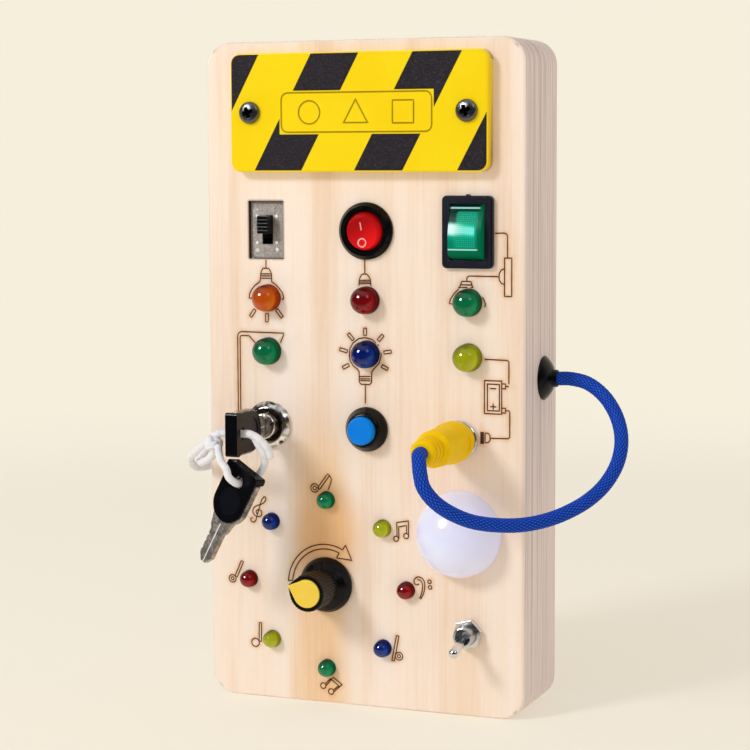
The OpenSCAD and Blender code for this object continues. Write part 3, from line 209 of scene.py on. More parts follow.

# %% [markdown]
# ## The key string
# One soft string ties both keys to the board: out of the white grommet, through both keys, and back, with
# a knot that holds the two runs together. A turning or drawn key takes its stretch of string with it, so
# the string is made in runs that meet end to end: the two tethers and the knot stay with the board, the run
# through the key and its tail ride with the key, and the other short runs at the lock stay where they are
# made.

# %% Routes of the string
out_run, to_lock, to_key, in_key, from_key, from_lock, back_run, tail_run = table("""
-55.1 0 95, -56.2 -0.05 94.2, -56.9 -0.1 92.9, -57.1 -0.2 91.2, -56.8 -0.3 89.2, -55.8 -0.4 86.4,
  -54.4 -0.5 82.6, -53.1 -0.8 78.4, -52.3 -2 74.4, -52.1 -4.8 71.4, -52.6 -8 70.4, -56 -12 69.7,
  -56.7 -14.8 70.6, -56.4 -17.6 72.4, -54.8 -20.6 74.4, -52.2 -23.6 76, -48.9 -27 78, -44.6 -31 80.3
-44.6 -31 80.3, -41.8 -33.6 81.5, -38.6 -36.9 83.6, -36.2 -37.9 84.7
-36.2 -37.9 84.7, -35.4 -37.95 84.72, -34.4 -38 84.7, -33.6 -38 84.7
-33.6 -38 84.7, -31.7 -38 84.7, -29.7 -38 84.7, -27.8 -38 84.7
-27.8 -38 84.7, -27 -38 84.65, -26.1 -37.95 84.3, -25.4 -37.8 83.8
-25.4 -37.8 83.8, -24.2 -37.2 81.2, -23.3 -36.4 79.2, -23.3 -35.2 76.8, -24.4 -33.8 74.3, -26.4 -32.6 72.1,
  -28.8 -31.8 70.4, -29.9 -32.4 69.9, -30.2 -34.4 70, -30.2 -39.2 70, -30.6 -41.3 70.8, -31.8 -42.3 72.4,
  -32.5 -42.3 74.6, -34.4 -41.9 76.9, -35.5 -40.9 79.2, -36.3 -39.6 80.9
-38.6 -37 80.4, -40.3 -34 78.1, -43.8 -30 75.7, -47.7 -25.6 74, -51.3 -21 72.8, -54.1 -16 72.6,
  -55.8 -11 73.2, -53.6 -6.8 79, -53.6 -3 82.6, -54.4 0 86, -55.8 1.6 88.8, -56.7 2.3 91.4, -56.4 2.4 93.6,
  -55.1 2.4 95
-28.2 -38.3 84.9, -26.1 -38.9 84.8, -23.7 -38.6 83.6, -22 -37.8 81.7, -21.1 -36.9 79.7, -21.1 -36 77.8
""")

# %% Make the runs of string
def string(name, route, diameter=2.2):
    piece, line, length = sleeve(name, route, diameter, 32, 0.3, braid(8, 1.1, 0.1))
    return piece, line, length

tether_out, out_line, out_length = string("string_out", out_run)
tether_back, back_line, back_length = string("string_back", back_run[::-1])
loop_left, loop_hole_left, loop_hole, loop_hole_right, loop_right, loop_tail = short_runs = [
    string(name, route)[0] for name, route in (
        ("string_to_lock", to_lock), ("string_to_key", to_key), ("string_in_key", in_key),
        ("string_from_key", from_key), ("string_loop", from_lock), ("string_tail", tail_run))]
for piece in (tether_out, tether_back):
    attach(piece, "board")
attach(loop_hole, "key")
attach(loop_tail, "key")
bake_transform(loop_left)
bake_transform(loop_hole_left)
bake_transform(loop_hole_right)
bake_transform(loop_right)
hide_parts("key_string")
print("tethers of", round(out_length * 1000), "and", round(back_length * 1000), "mm")

# %% [markdown]
# ## The knot
# An overhand knot in a soft string shows as a few fat turns round the runs. A ball would look like a bead,
# so the knot is one more sleeve, wound in a small trefoil and drawn tight.

# %% Tie the knot
def trefoil(centre, size, tilt, points=36):
    turn = np.linspace(0, 2 * pi, points, endpoint=False)
    flat = np.stack([np.sin(turn) + 2 * np.sin(2 * turn), np.cos(turn) - 2 * np.cos(2 * turn),
                     -1.3 * np.sin(3 * turn)], 1) * size / 3
    turned = np.array(tilt.to_matrix()) @ flat.T
    return [tuple(p) for p in turned.T + np.array(centre)]

knot_route = trefoil((-38.8, -37.9, 81.4), 1.9, Euler((0.6, 0.5, 0.2)))
knot, _, knot_length = string("knot", knot_route + knot_route[:1], 2.1)
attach(knot, "board")
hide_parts("string_knot")
print("knot of", round(knot_length * 1000), "mm of string")

# %% [markdown]
# ## Writing finishes as sums
# A finish is a web of nodes, and most of the web is arithmetic. One small class wraps a socket, so that
# `1 - mask` or `height * 0.3` adds the Math node by itself. A second class holds the material and makes any
# other node from its type, its settings and what goes into its sockets.

# %% Sockets that can be used in sums
class Wire:
    def __init__(self, finish, socket):
        self.finish, self.socket = finish, socket

    def math(self, operation, *others):
        return self.finish.node("Math", {"operation": operation}, dict(enumerate((self,) + others)))

    __add__ = __radd__ = lambda self, other: self.math("ADD", other)
    __mul__ = __rmul__ = lambda self, other: self.math("MULTIPLY", other)
    __sub__ = lambda self, other: self.math("SUBTRACT", other)
    __rsub__ = lambda self, other: self.math("MULTIPLY_ADD", -1, other)
    __truediv__ = lambda self, other: self.math("DIVIDE", other)
    __abs__ = lambda self: self.math("ABSOLUTE")

# %% A finish: one material and the nodes in it
def paint(colour):
    """Three numbers from 0 to 255 are a colour as a screen shows it. Anything else is ready for a socket."""
    if not isinstance(colour, tuple) or len(colour) != 3:
        return colour
    linear = [c / 255 / 12.92 if c / 255 <= 0.04045 else ((c / 255 + 0.055) / 1.055) ** 2.4 for c in colour]
    return (*linear, 1)

finishes = {}

class Finish:
    def __init__(self, name, **shader):
        self.material = bpy.data.materials.new(name)
        self.material.use_nodes = True
        self.tree = self.material.node_tree
        self.shader = self.tree.nodes["Principled BSDF"]
        self.wear(**shader)
        finishes[name] = self

    def node(self, kind, settings={}, sockets={}, out=0):
        made = self.tree.nodes.new("ShaderNode" + kind)
        for key, value in settings.items():
            if key == "stops":
                ramp = made.color_ramp.elements
                while len(ramp) < len(value):
                    ramp.new(0.5)
                for stop, (at, colour) in zip(ramp, value):
                    stop.position, stop.color = at, colour
            else:
                setattr(made, key, value)
        for key, value in sockets.items():
            self.feed(made.inputs[key], value)
        return Wire(self, made.outputs[out])

    def feed(self, socket, value):
        if isinstance(value, Wire):
            self.tree.links.new(value.socket, socket)
        else:
            socket.default_value = value

    def wear(self, **shader):
        for key, value in shader.items():
            self.feed(self.shader.inputs[key.replace("_", " ")], paint(value))

    def mix(self, factor, a, b):
        return self.node("Mix", {"data_type": "RGBA"}, {0: factor, 6: paint(a), 7: paint(b)}, out=2)

    def either(self, factor, a, b):
        return self.node("MixShader", {}, {0: factor, 1: a, 2: b})

    def ramp(self, factor, *stops):
        return self.node("ValToRGB", {"stops": [(at, paint(c)) for at, c in stops]}, {0: factor})

    def between(self, value, low, high):
        return self.node("MapRange", {"interpolation_type": "SMOOTHSTEP"},
                         {"Value": value, "From Min": low, "From Max": high})

    def where(self):
        """The place of each point, in millimetres."""
        metres = self.node("TexCoord", out="Object")
        return self.node("VectorMath", {"operation": "SCALE"}, {0: metres, "Scale": 1000})

    def place(self):
        where = self.where()
        return [where] + self.split(where)

    def split(self, vector):
        parts = self.node("SeparateXYZ", {}, {0: vector}).socket.node.outputs
        return [Wire(self, part) for part in parts]

    def noise(self, where, squeeze, detail=2, roughness=0.5):
        squeeze = squeeze if isinstance(squeeze, tuple) else (squeeze,) * 3
        squeezed = self.node("VectorMath", {"operation": "MULTIPLY"}, {0: where, 1: squeeze})
        return self.node("TexNoise", {}, {"Vector": squeezed, "Scale": 1, "Detail": detail,
                                                    "Roughness": roughness})

    def value(self, name):
        return self.node("Attribute", {"attribute_name": name}, out="Fac")

    def to_bar(self, x, z, a, b):
        """How far a point is from the straight bar between a and b."""
        u, v = b[0] - a[0], b[1] - a[1]
        x, z = x - a[0], z - a[1]
        t = ((x * u + z * v) / (u * u + v * v)).math("MAXIMUM", 0).math("MINIMUM", 1)
        x, z = x - t * u, z - t * v
        return (x * x + z * z).math("SQRT")

    def to_spot(self, x, z, centre):
        return self.to_bar(x, z, centre, (centre[0], centre[1] + 0.01))

    def bump(self, height, millimetres, strength=1):
        self.wear(Normal=self.node("Bump", {}, {"Height": height, "Distance": millimetres * MM,
                                                          "Strength": strength}))

print("a colour of 128 on screen is", round(paint((128, 128, 128))[0], 3), "in light")

# %% [markdown]
# ## Pine
# The box is routed from one plank of pale pine. Its front shows wide soft grain, warmer through the lower
# middle; its sides show the tight grey and pink lines of the growth rings. A laser cut the holes and drew
# the lines, so the walls of both are burnt brown and a little smoke stain lies beside them. How burnt and
# how stained a point is comes with the mesh, and the grain is noise stretched along the plank. Painting the
# grain on an image would need an unwrapped mesh; noise needs only the place of a point.

# %% Pine, with burnt lines
f = Finish("pine", Specular_IOR_Level=0.3)
where, x, y, z = f.place()
side = f.between(y, -15.3, -14.6)
broad = f.noise(where, (0.11, 0.11, 0.006), 4, 0.55)
fine = f.noise(where, (1.4, 1.4, 0.03), 5, 0.6)
rings = f.noise(where, (0.02, 0.9, 0.003), 3, 0.7)
band = f.between(abs(x + 14 + (fine - 0.5) * 4), 13, 3) * f.between(z, 104, 60)
glowing = f.between(f.to_spot(x * 1.6, z, (-10.5 * 1.6, 52)) + (fine - 0.5) * 6, 22, 6)
second = f.between(abs(x - 31 + (fine - 0.5) * 4), 8, 1) * f.between(z, 60, 15)
tone = broad * 0.72 + fine * 0.28
face = f.ramp(tone, (0.34, (251, 237, 227)), (0.5, (249, 230, 214)), (0.66, (240, 213, 189)))
face = f.mix(band * (0.5 + fine * 0.5), face, (240, 196, 144))
face = f.mix(glowing * (0.5 + fine * 0.6), face, (240, 186, 128))
face = f.mix(second * 0.3, face, (240, 206, 165))
edge = f.ramp(rings * 0.8 + fine * 0.2, (0.32, (168, 147, 148)), (0.42, (231, 214, 212)),
              (0.52, (241, 225, 219)), (0.6, (185, 164, 164)), (0.68, (231, 214, 211)))
wood = f.mix(side, face, edge)
fleck = f.between(f.noise(where, (0.32, 0.32, 0.2), 2, 0.4), 0.79, 0.83)
wood = f.mix(fleck * 0.4, wood, (176, 128, 88))
wood = f.mix(f.value("stain") * 0.7, wood, (226, 168, 108))
wood = f.mix(f.value("burn"), wood, (80, 44, 20))
f.wear(Base_Color=wood, Roughness=0.5 + fine * 0.2)
f.bump(fine, 0.06, 0.35)

# %% [markdown]
# ## The striped cover
# The cover is a yellow plastic plate. Its black stripes are printed, with a faint grain where the ink is
# thin, and a plain yellow plaque lies across their middle. Stripes are a fraction of a slanted distance:
# take what is left over after dividing by the pitch, and ask how near it is to a stripe's middle.

# %% Yellow plate with printed stripes
f = Finish("striped_plate", Specular_IOR_Level=0.15)
where, x, y, z = f.place()
lean, pitch, half_black = 0.538, 32.1, 0.237
slant = (x - (z - COVER_Z) * lean) / pitch
striped = abs(slant.math("FRACT") - 0.5).math("LESS_THAN", half_black)
wide, tall = abs(x - PLAQUE_AT[0]) - 24.4, abs(z - PLAQUE_AT[1]) - 6.4
plaque = wide.math("MAXIMUM", tall).math("LESS_THAN", 0)
printed = y.math("LESS_THAN", COVER_FRONT + 0.1)
ink = striped * (1 - plaque) * printed
grain = f.noise(where, (1.3, 1, 5), 5, 0.8)
black = f.ramp(grain, (0.4, (18, 15, 20)), (0.55, (34, 29, 35)), (0.72, (92, 82, 92)))
cloud = f.noise(where, 0.06)
yellow = f.ramp(cloud, (0.3, (250, 214, 6)), (0.7, (250, 220, 14)))
colour = f.mix(ink, yellow, black)
f.wear(Base_Color=f.mix(f.value("burn"), colour, (58, 44, 14)), Roughness=0.3 + ink * 0.35)
f.bump(f.noise(where, 3), 0.02, 0.2)

# %% [markdown]
# ## Plastics and metals
# Moulded plastic is one colour with a fine texture from the mould and a gloss that wanders a little. Turned
# and plated metal differs mostly in how sharply it mirrors, so each gets its own roughness and a faint
# brushed grain. Some metal also has painted light: a painted highlight in the key grooves, painted shade in
# the screw crosses and painted reflections on the lock's chrome.

# %% Moulded plastics
def plastic(name, colour, dark, roughness, specular=0.5, grain=0.012, coat=0.0):
    f = Finish(name, Specular_IOR_Level=specular, Coat_Weight=coat, Coat_Roughness=0.08)
    where = f.where()
    cloud = f.noise(where, 0.35, 3, 0.55)
    pits = f.noise(where, 6)
    tone = f.mix(cloud, dark, colour)
    if name == "key_plastic":
        tone = f.mix(f.value("sunk"), tone, (15, 16, 25))
    f.wear(Base_Color=tone, Roughness=roughness * 0.8 + cloud * (0.4 * roughness))
    f.bump(pits, grain, 0.5)

for plastic_kind in (
        ("yellow_plastic", (246, 212, 76), (240, 203, 60), 0.4),
        ("yellow_rubber", (255, 212, 0), (244, 196, 0), 0.5, 0.08, 0.02),
        ("black_plastic", (6, 6, 7), (3, 3, 4), 0.26, 0.18),
        ("black_rubber", (6, 6, 7), (2, 2, 3), 0.28, 0.2),
        ("key_plastic", (12, 12, 18), (5, 5, 8), 0.2, 0.14),
        ("navy_plastic", (30, 32, 44), (20, 22, 34), 0.3, 0.3),
        ("blue_cap", (0, 138, 244), (0, 122, 226), 0.3, 0.14),
        ("white_rubber", (236, 236, 238), (222, 222, 226), 0.5),
        ("cell_wrap", (40, 130, 70), (28, 104, 54), 0.3),
        ("brown_board", (150, 102, 62), (120, 78, 44), 0.6, 0.5, 0.03),
        ("green_board", (22, 96, 56), (14, 78, 44), 0.35, 0.5, 0.012, 0.3),
        ("white_board", (236, 236, 228), (224, 224, 214), 0.45),
        ("plywood", (226, 200, 160), (206, 176, 134), 0.65, 0.5, 0.05)):
    plastic(*plastic_kind)

# %% The red button, its two marks, and painted light and shade on its face
f = Finish("red_button", Roughness=0.3, Specular_IOR_Level=0.14)
where, x, _, z = f.place()
stroke = f.to_bar(x, z, (0.85, 146.3), (1.0, 144.2)).math("LESS_THAN", 0.17)
ring = abs(f.to_spot(x, z, (1.15, 140.4)) - 1.2).math("LESS_THAN", 0.2)
# Painted light and shade: the face is lighter towards the lower right and darker towards the top left.
painted_light_low_right = f.between(z - x * 0.6, 147, 136)
red = f.mix(painted_light_low_right, (170, 0, 8), (240, 18, 26))
f.wear(Base_Color=f.mix(stroke.math("MAXIMUM", ring), red, (238, 176, 170)))
f.bump(f.noise(where, 6), 0.01, 0.4)

# %% Metals
def metal(name, colour, roughness, brushed, depth=0.006, spread=0.15):
    f = Finish(name, Metallic=1.0)
    where = f.where()
    lines = f.noise(where, brushed, 3, 0.6)
    smudge = f.noise(where, 0.5, 3, 0.6)
    dull = tuple(c * (0.74 if name == "steel" else 0.93) for c in colour)
    tone = f.mix(f.between(smudge, 0.32, 0.68), dull, colour)
    # Sunk points are painted: near white in the grooves of the steel key blades, a painted highlight, and
    # near black in the cross of the black screws, painted shade. Where the steel is sunk it is not metallic.
    f.wear(Base_Color=f.mix(f.value("sunk"), tone, (255, 253, 250) if name == "steel" else (6, 6, 7)),
           Roughness=roughness * (1 - spread) + (lines * 0.5 + smudge * 0.5) * (2 * spread * roughness))
    if name == "steel":
        f.wear(Metallic=(1 - f.value("sunk")) * 0.7)
    f.bump(lines, depth, 0.5)

for name, colour, roughness, brushed in (
        ("steel", (186, 180, 174), 0.27, (8, 8, 1)),
        ("black_screw", (118, 118, 124), 0.3, (5, 5, 5)),
        ("brass", (214, 182, 112), 0.3, (5, 5, 5)),
        ("chrome", (232, 232, 234), 0.12, (5, 5, 5)),
        ("zinc", (204, 204, 208), 0.28, (6, 6, 1)),
        ("aluminium", (222, 222, 224), 0.3, (9, 1, 9))):
    metal(name, colour, roughness, brushed)

# %% Chrome with painted reflections: light and dark fans round the axis, and a painted dark ring
def turned(name, centre, groove):
    f = Finish(name, Metallic=1.0)
    where, x, _, z = f.place()
    x, z = x - centre[0], z - centre[1]
    off = (x * x + z * z).math("SQRT")
    # The light and dark fans round the axis are painted reflections.
    painted_bands = f.node("CombineXYZ", {}, {0: x / off, 1: off * 0.04, 2: z / off})
    tone = f.noise(painted_bands, (1.25, 1, 1.25), 2, 0.6)
    bright = f.ramp(tone, (0.38, (70, 60, 54)), (0.42, (164, 157, 152)), (0.5, (244, 242, 241)),
                    (0.57, (222, 218, 215)), (0.63, (128, 119, 112)))
    # Painted shade: a darker ring between the two radii in groove, where the slope mirrors the dark key.
    dark = f.between(off, groove[0], groove[0] + 0.15) * f.between(off, groove[1], groove[1] - 0.25)
    f.wear(Base_Color=f.mix(dark, bright, (176, 168, 162)), Roughness=0.1 + tone * 0.1)
    f.bump(f.noise(where, 5, 3, 0.6), 0.004, 0.4)

turned("turned_chrome", LOCK_AT, (3.72, 5.85))

# %% The slide switch's stamped frame, with a painted highlight in each dimple
f = Finish("stamped_frame", Metallic=0.35)
where, x, _, z = f.place()
grain = f.noise(where, 2.2, 4, 0.7)
# Each dimple is painted near white: a painted highlight.
dimple_highlights = 0
for at, size in (((-34.8, 147.9), 0.45), ((-28.4, 147.9), 0.5), ((-34.8, 149.9), 0.3), ((-34.8, 139.9), 0.45),
                 ((-28.3, 140.0), 0.45), ((-34.8, 137.6), 0.6), ((-28.3, 137.9), 0.55)):
    dimple_highlights = f.between(f.to_spot(x, z, at), size + 0.1, size - 0.1) + dimple_highlights
tone = f.ramp(grain, (0.36, (134, 128, 124)), (0.52, (166, 158, 152)), (0.66, (190, 182, 174)))
f.wear(Base_Color=f.mix(dimple_highlights.math("MINIMUM", 1), tone, (240, 236, 230)), Roughness=0.4 + grain * 0.2)
f.bump(grain, 0.03, 0.5)

# %% [markdown]
# ## Lamps, the green button and the milky dome
# The lamps are tinted lenses that are off: deep in colour and wet in gloss. Each lens is painted lighter on
# the side away from the lamp light, painted light for what went in and comes out again, with painted shade in
# a dark crescent round its edge. The mesh tells the finish how far round a lens is. The green button is
# painted as if lit from inside: it gives off light of its own, with a painted highlight across its middle and
# painted shade at its top and sides.

# %% Tinted lenses
def lens(name, deep, colour, bright):
    f = Finish(name, Roughness=0.3, Specular_IOR_Level=0.02, Coat_Roughness=0.07)
    where = f.where()
    cloud = f.noise(where, 0.6)
    # The glow value from the mesh is painted light and shade: lighter towards the lower right, away from the
    # lamp, and a dark crescent at the edge.
    through = f.value("glow") + (cloud - 0.5) * 0.1
    tint = f.ramp(through, (0.08, deep), (0.45, colour), (0.9, bright))
    f.wear(Base_Color=tint, Coat_Weight=f.value("wet"))

for name, deep, colour, bright in (
        ("amber_lens", (96, 20, 2), (190, 76, 4), (226, 116, 14)),
        ("green_lens", (0, 40, 16), (0, 110, 68), (0, 150, 98)),
        ("red_lens", (52, 0, 2), (112, 0, 8), (166, 14, 20)),
        ("blue_lens", (0, 6, 44), (0, 24, 104), (12, 64, 164)),
        ("lime_lens", (96, 100, 0), (158, 166, 8), (196, 204, 40))):
    lens(name, deep, colour, bright)

# %% The green button, painted as if lit, with painted highlights and shade
# The button's light of its own is a painted glow.
f = Finish("green_button", Roughness=0.35, Specular_IOR_Level=0.06, Emission_Strength=0.9)
_, x, _, z = f.place()
cells = abs((x * 1.75).math("FRACT") - 0.5).math("MAXIMUM", abs((z * 1.75).math("FRACT") - 0.5))
field = (f.between(x, 37.0, 36.6) * f.between(x, 29.6, 31.6) * f.between(z, 139.3, 139.7)
         * f.between(z, 149.9, 149.5))
mesh = f.between(cells, 0.22, 0.46) * field
# Painted shade at the top edge and the upper left corner.
corner = f.between(x, 31.4, 30.2) * f.between(z, 145.6, 147.2)
shade = (f.between(z, 149.3, 150.2) + corner).math("MINIMUM", 1)
# Painted highlights: a bright band across the middle, whitest at its left end, and pale lines along the top
# and bottom edges.
middle = f.between(abs(z - 144.4 + (x - 33.5) * 0.1), 4.2, 0.2) * f.between(x, 37.4, 36.2)
pale = f.between(abs(z - 138.8), 0.3, 0.1).math("MAXIMUM", f.between(abs(z - 150.8), 0.35, 0.1))
# Painted shade: darker towards the bottom below the lower pale line, and on the right side.
low = f.between(z, 138.9, 138.3)
right = f.between(x, 37.0, 37.8)
glow = f.ramp(middle, (0.0, (0, 104, 78)), (0.5, (0, 158, 124)), (0.78, (12, 212, 176)),
              (0.96, (140, 255, 240)))
glow = f.mix(f.between(x, 33.6, 29.4) * f.between(middle, 0.45, 1.0), glow, (232, 255, 250))
glow = f.mix(field * (1 - mesh) * (1 - middle) * 0.8, glow, (30, 206, 164))
glow = f.mix(mesh * (0.7 - middle * 0.35), glow, (0, 84, 62))
glow = f.mix(shade, glow, (0, 30, 22))
glow = f.mix(low, glow, f.mix(f.between(z, 138.6, 134.6), (0, 92, 60), (0, 40, 24)))
glow = f.mix(right, glow, (0, 84, 54))
glow = f.mix(pale * (1 - right) * 0.8, glow, (190, 250, 232))
base = f.mix(low.math("MAXIMUM", right), (0, 84, 66), (0, 64, 42))
f.wear(Base_Color=f.mix((mesh * 0.6).math("MAXIMUM", shade), base, (0, 34, 26)), Emission_Color=glow)
f.bump(mesh, 0.08, 0.4)

# %% Milky dome, string and braid
# The dome's faint light of its own is a painted glow; its lamp is off.
f = Finish("milky_plastic", Roughness=0.16, Specular_IOR_Level=0.4, Subsurface_Weight=0.5,
           Subsurface_Scale=0.006, Emission_Strength=0.12, Emission_Color=(222, 212, 255))
where = f.where()
cloud = f.noise(where, 0.12)
f.wear(Base_Color=f.mix(cloud, (222, 222, 255), (232, 231, 255)))
f.bump(f.noise(where, 4), 0.01, 0.3)

def yarn(name, gap, middle, top, thread, roughness):
    f = Finish(name, Specular_IOR_Level=0.12)
    where = f.where()
    lift, fibres = f.value("lift"), f.noise(where, thread, 3, 0.6)
    # The colour follows the lift of the yarns: painted shade in the gaps and a painted highlight on the
    # crests.
    f.wear(Base_Color=f.ramp(lift * 0.8 + fibres * 0.25, (0.22, gap), (0.62, middle),
                             (0.94, top)), Roughness=roughness + fibres * 0.15)
    f.bump(fibres, 0.05, 0.6)

yarn("blue_braid", (0, 12, 74), (0, 50, 164), (50, 108, 222), (5, 5, 5), 0.55)
yarn("white_string", (188, 194, 210), (240, 240, 246), (250, 250, 253), (5, 5, 5), 0.75)
print(len(finishes), "finishes")

# %% [markdown]
# ## Giving each piece its finish
# The record names a finish for every piece of the model. The pieces keep their meshes, and only what fills
# their material slot changes. New pieces say which slot they take their finish from.

# %% Hand out the finishes
def dress(piece, slot, finish=None):
    piece.data.materials.clear()
    piece.data.materials.append(finishes[finish or slot].material)

def stand_for(node, piece, finish=None):
    """Gives a new piece the node's slot and body, and hides the node."""
    dress(piece, slot_of[node], finish)
    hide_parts(node)
    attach(piece, frame["nodes"][node]["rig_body"])
    return piece

for name, piece in frame["nodes"].items():
    dress(piece, slot_of[name])
dress(frame["nodes"]["slide_base"], "brown_board", "black_plastic")
dress(blue_cord, "blue_braid")
for piece in (tether_out, tether_back, *short_runs, knot):
    dress(piece, "white_string")
print("dressed", len(frame["nodes"]), "pieces")

# %% [markdown]
# ## Drawing the burnt lines
# The laser drew a small picture beside each lamp and switch: bulbs, wires, a battery, notes and an arrow. A
# picture is a list of strokes, and each stroke is a list of points on the front, X to the right and Z up.

# %% Strokes
def bow(cx, cz, r, start, end, r_end=None):
    """Points on an arc, in degrees, whose radius may change from start to end."""
    count = max(4, int(abs(end - start) * max(r, 1) / 35))
    turns = np.linspace(radians(start), radians(end), count)
    radii = np.linspace(r, r_end or r, count)
    return [(cx + q * cos(t), cz + q * sin(t)) for q, t in zip(radii, turns)]

def loop(cx, cz, r):
    return bow(cx, cz, r, 0, 360)

def bar(a, b, width):
    """The outline of a narrow bar from a to b."""
    a, b = np.array(a, float), np.array(b, float)
    n = np.array([a[1] - b[1], b[0] - a[0]])
    n *= width / 2 / np.linalg.norm(n)
    return [tuple(p) for p in (a + n, b + n, b - n, a - n, a + n)]

def curl(cx, cz, lean, points):
    """A smooth line through points, leaning to the right by some degrees."""
    c, s = cos(radians(lean)), sin(radians(lean))
    smooth, _ = along([(u, v, 0) for u, v in points], 0.35)
    return [(cx + c * u + s * v, cz - s * u + c * v) for u, v, _ in smooth]

# %% Bulbs and wires in the upper half
bulb_left = table("""
-31.4 135.6, -31.4 132.3
-33.3 129.2, -33.2 130.5, -32.9 131.4, -32.4 132.2, -30.5 132.2, -30 131.4, -29.6 130.5, -29.6 129.2
-32.9 130.5, -29.9 130.5
-33 129.9, -29.9 129.9
-33 129.2, -29.9 129.2
-33.3 128.9, -33.6 128, -35.1 127, -36.3 125.6, -36.9 124.4, -37.1 123.1, -36.2 123
-29.6 128.9, -29.6 128.2, -28.2 127.3, -27 126.1, -26 124.8, -25.6 123.4, -25.9 122.9, -26.1 123
""")
bulb_left += [bar(a, b, 0.9) for a, b in (
    ((-35.2, 119.6), (-36.7, 117.5)), ((-31.2, 118.5), (-31.3, 116)), ((-28, 119.8), (-26.2, 117.5)))]
bulb_middle = table("""
0.8 135.4, 0.8 131.2
-1.1 127.6, -1 129.2, -0.6 130.3, 0 131, 1.4 131, 2.1 130.3, 2.6 129.3, 2.7 127.7
-0.7 129.1, 2.3 129.2
-0.7 128.6, 2.3 128.7
-0.8 128.1, 2.4 128.2
""")
bulb_right = table("""
41.5 143.5, 44.2 143.6, 44.9 143.4, 45.3 142.8, 45.3 136.4
44.4 136.4, 46.6 136.4, 46.6 125.3, 44.4 125.3, 44.4 136.4
44.4 133.3, 43.4 132.9, 42.8 131.9, 42.7 131, 42.8 130, 43.4 129.1, 44.4 128.7
42.4 131, 33.5 131, 32.9 130.5, 32.8 129.7
30.7 127.9, 31.3 129.4, 34.1 129.4, 34.6 127.9
31.2 128.4, 34.2 128.4
30.4 127.6, 34.7 127.7
30.4 127.2, 29 125.9, 27.9 124.3, 27.4 122.9, 28.2 122.7
35 127.5, 36.7 126.1, 38 124.4, 38.6 122.9, 38.4 122.3
""")
lamp_post = table("""
-25.8 112.1, -25.8 112.7, -39.8 112.8, -40.7 112.4, -41.1 111.5, -41.1 87.4, -40.8 86.6, -40.2 86.3,
  -38.4 86.3
-38.4 87.2, -40.3 87.2, -40.3 111, -40 111.6, -37.3 111.6, -35.3 109.6
-25.8 112.1, -26.8 109.9
""")

# %% Bulb, battery and plug sign in the middle rows
bulb_blue = table("""
-4.3 106.8, -4.1 108.7, -3.1 110.4, -1.3 111.7, 0.8 112.1, 3.1 111.6, 5.1 109.8, 6 107.1, 5.2 104.5,
  3.4 102.7, 2.9 101.9, 2.8 98.8, 2.2 98.1, -0.6 98.1, -1.1 98.8, -1.2 101.9, -1.7 102.6, -3 103.5,
  -4 104.9, -4.3 106.8
-0.8 100.4, 2.4 100.5
-0.8 99.7, 2.4 99.8
-0.7 99.2, 2.4 99.2
0.8 97.8, 0.8 92.4
""")
bulb_blue += [bar(a, b, 0.9) for a, b in (
    ((0.8, 114.9), (0.8, 112.8)), ((-4.6, 113.1), (-3, 111.3)), ((6.5, 113.0), (5, 111.3)),
    ((-7.4, 108.4), (-5, 107.8)), ((6.8, 107.8), (9.1, 108.2)), ((-6.4, 102.8), (-4.5, 103.8)),
    ((6.1, 103.8), (8, 102.9)))]
battery = table("""
38.6 106.8, 45.3 106.7, 45.8 106.2, 45.8 99.9
38.3 100.6, 43.6 100.6, 43.6 90.9, 38.3 90.9, 38.3 100.6
39.2 99.6, 42.9 99.6, 42.9 91.8, 39.2 91.8, 39.2 99.6
43.6 99.8, 44.8 99.8, 44.8 98.4, 43.6 98.4
43.6 92.7, 44.8 92.7, 44.8 91.3, 43.6 91.3
44.8 99.1, 45.8 99.1
40.2 98.3, 41.8 98.3
40.2 93, 41.8 93
41 93.8, 41 92.2
44.9 92, 45.8 92, 46.1 91.5, 46.1 84.3, 45.6 83.8, 40.3 83.7
39.5 82.4, 38.5 82.3, 38.5 85.2, 39.5 85.1, 40 84.5, 40.1 83.7, 40 83, 39.5 82.4
""")
battery += [[(at, 81.9), (at, 85.5)] for at in (37.2, 37.6, 38)]

# %% Notes, clefs and the arrow round the knob
arrow = [bow(-11.9, 36.8, 12.9, 179, 65, 11.9)
         + [(-5.9, 49.1), (-3.9, 44.6), (-8.9, 45), (-8, 46.5)]
         + bow(-11.9, 36.8, 10.5, 68, 178.5, 11.5) + [(-24.8, 37)]]
treble_line, bass_outer, bass_inner = table("""
-0.9 -3.3, -1.3 -3.9, -0.8 -4.5, 0 -4.4, 0.4 -3.6, 0.2 -2.2, -0.1 0.2, -0.4 2.6, -0.3 3.9, 0.2 4.6, 0.7 4,
  0.6 2.9, 0 1.9, -1.2 0.7, -1.8 -0.5, -1.5 -1.7, -0.4 -2.3, 0.8 -2.1, 1.4 -1.3, 1.1 -0.3, 0.3 0, -0.5 -0.4,
  -0.6 -1.1, -0.1 -1.5
17.7 38.8, 16.9 38.6, 16.2 39.2, 16.4 40.3, 17.4 41, 18.7 40.7, 19.5 39.6, 19.6 38, 19.2 36.2, 18.3 34.3
17.3 40.2, 18.2 40, 18.8 39.2, 18.9 37.9, 18.6 36.2, 18 34.6
""")
treble = [curl(-34.5, 58.3, 25, treble_line)]
bass = [curl(0, 0, 0, bass_outer), curl(0, 0, 0, bass_inner), loop(21.1, 39.8, 0.55), loop(21.3, 38.1, 0.55)]
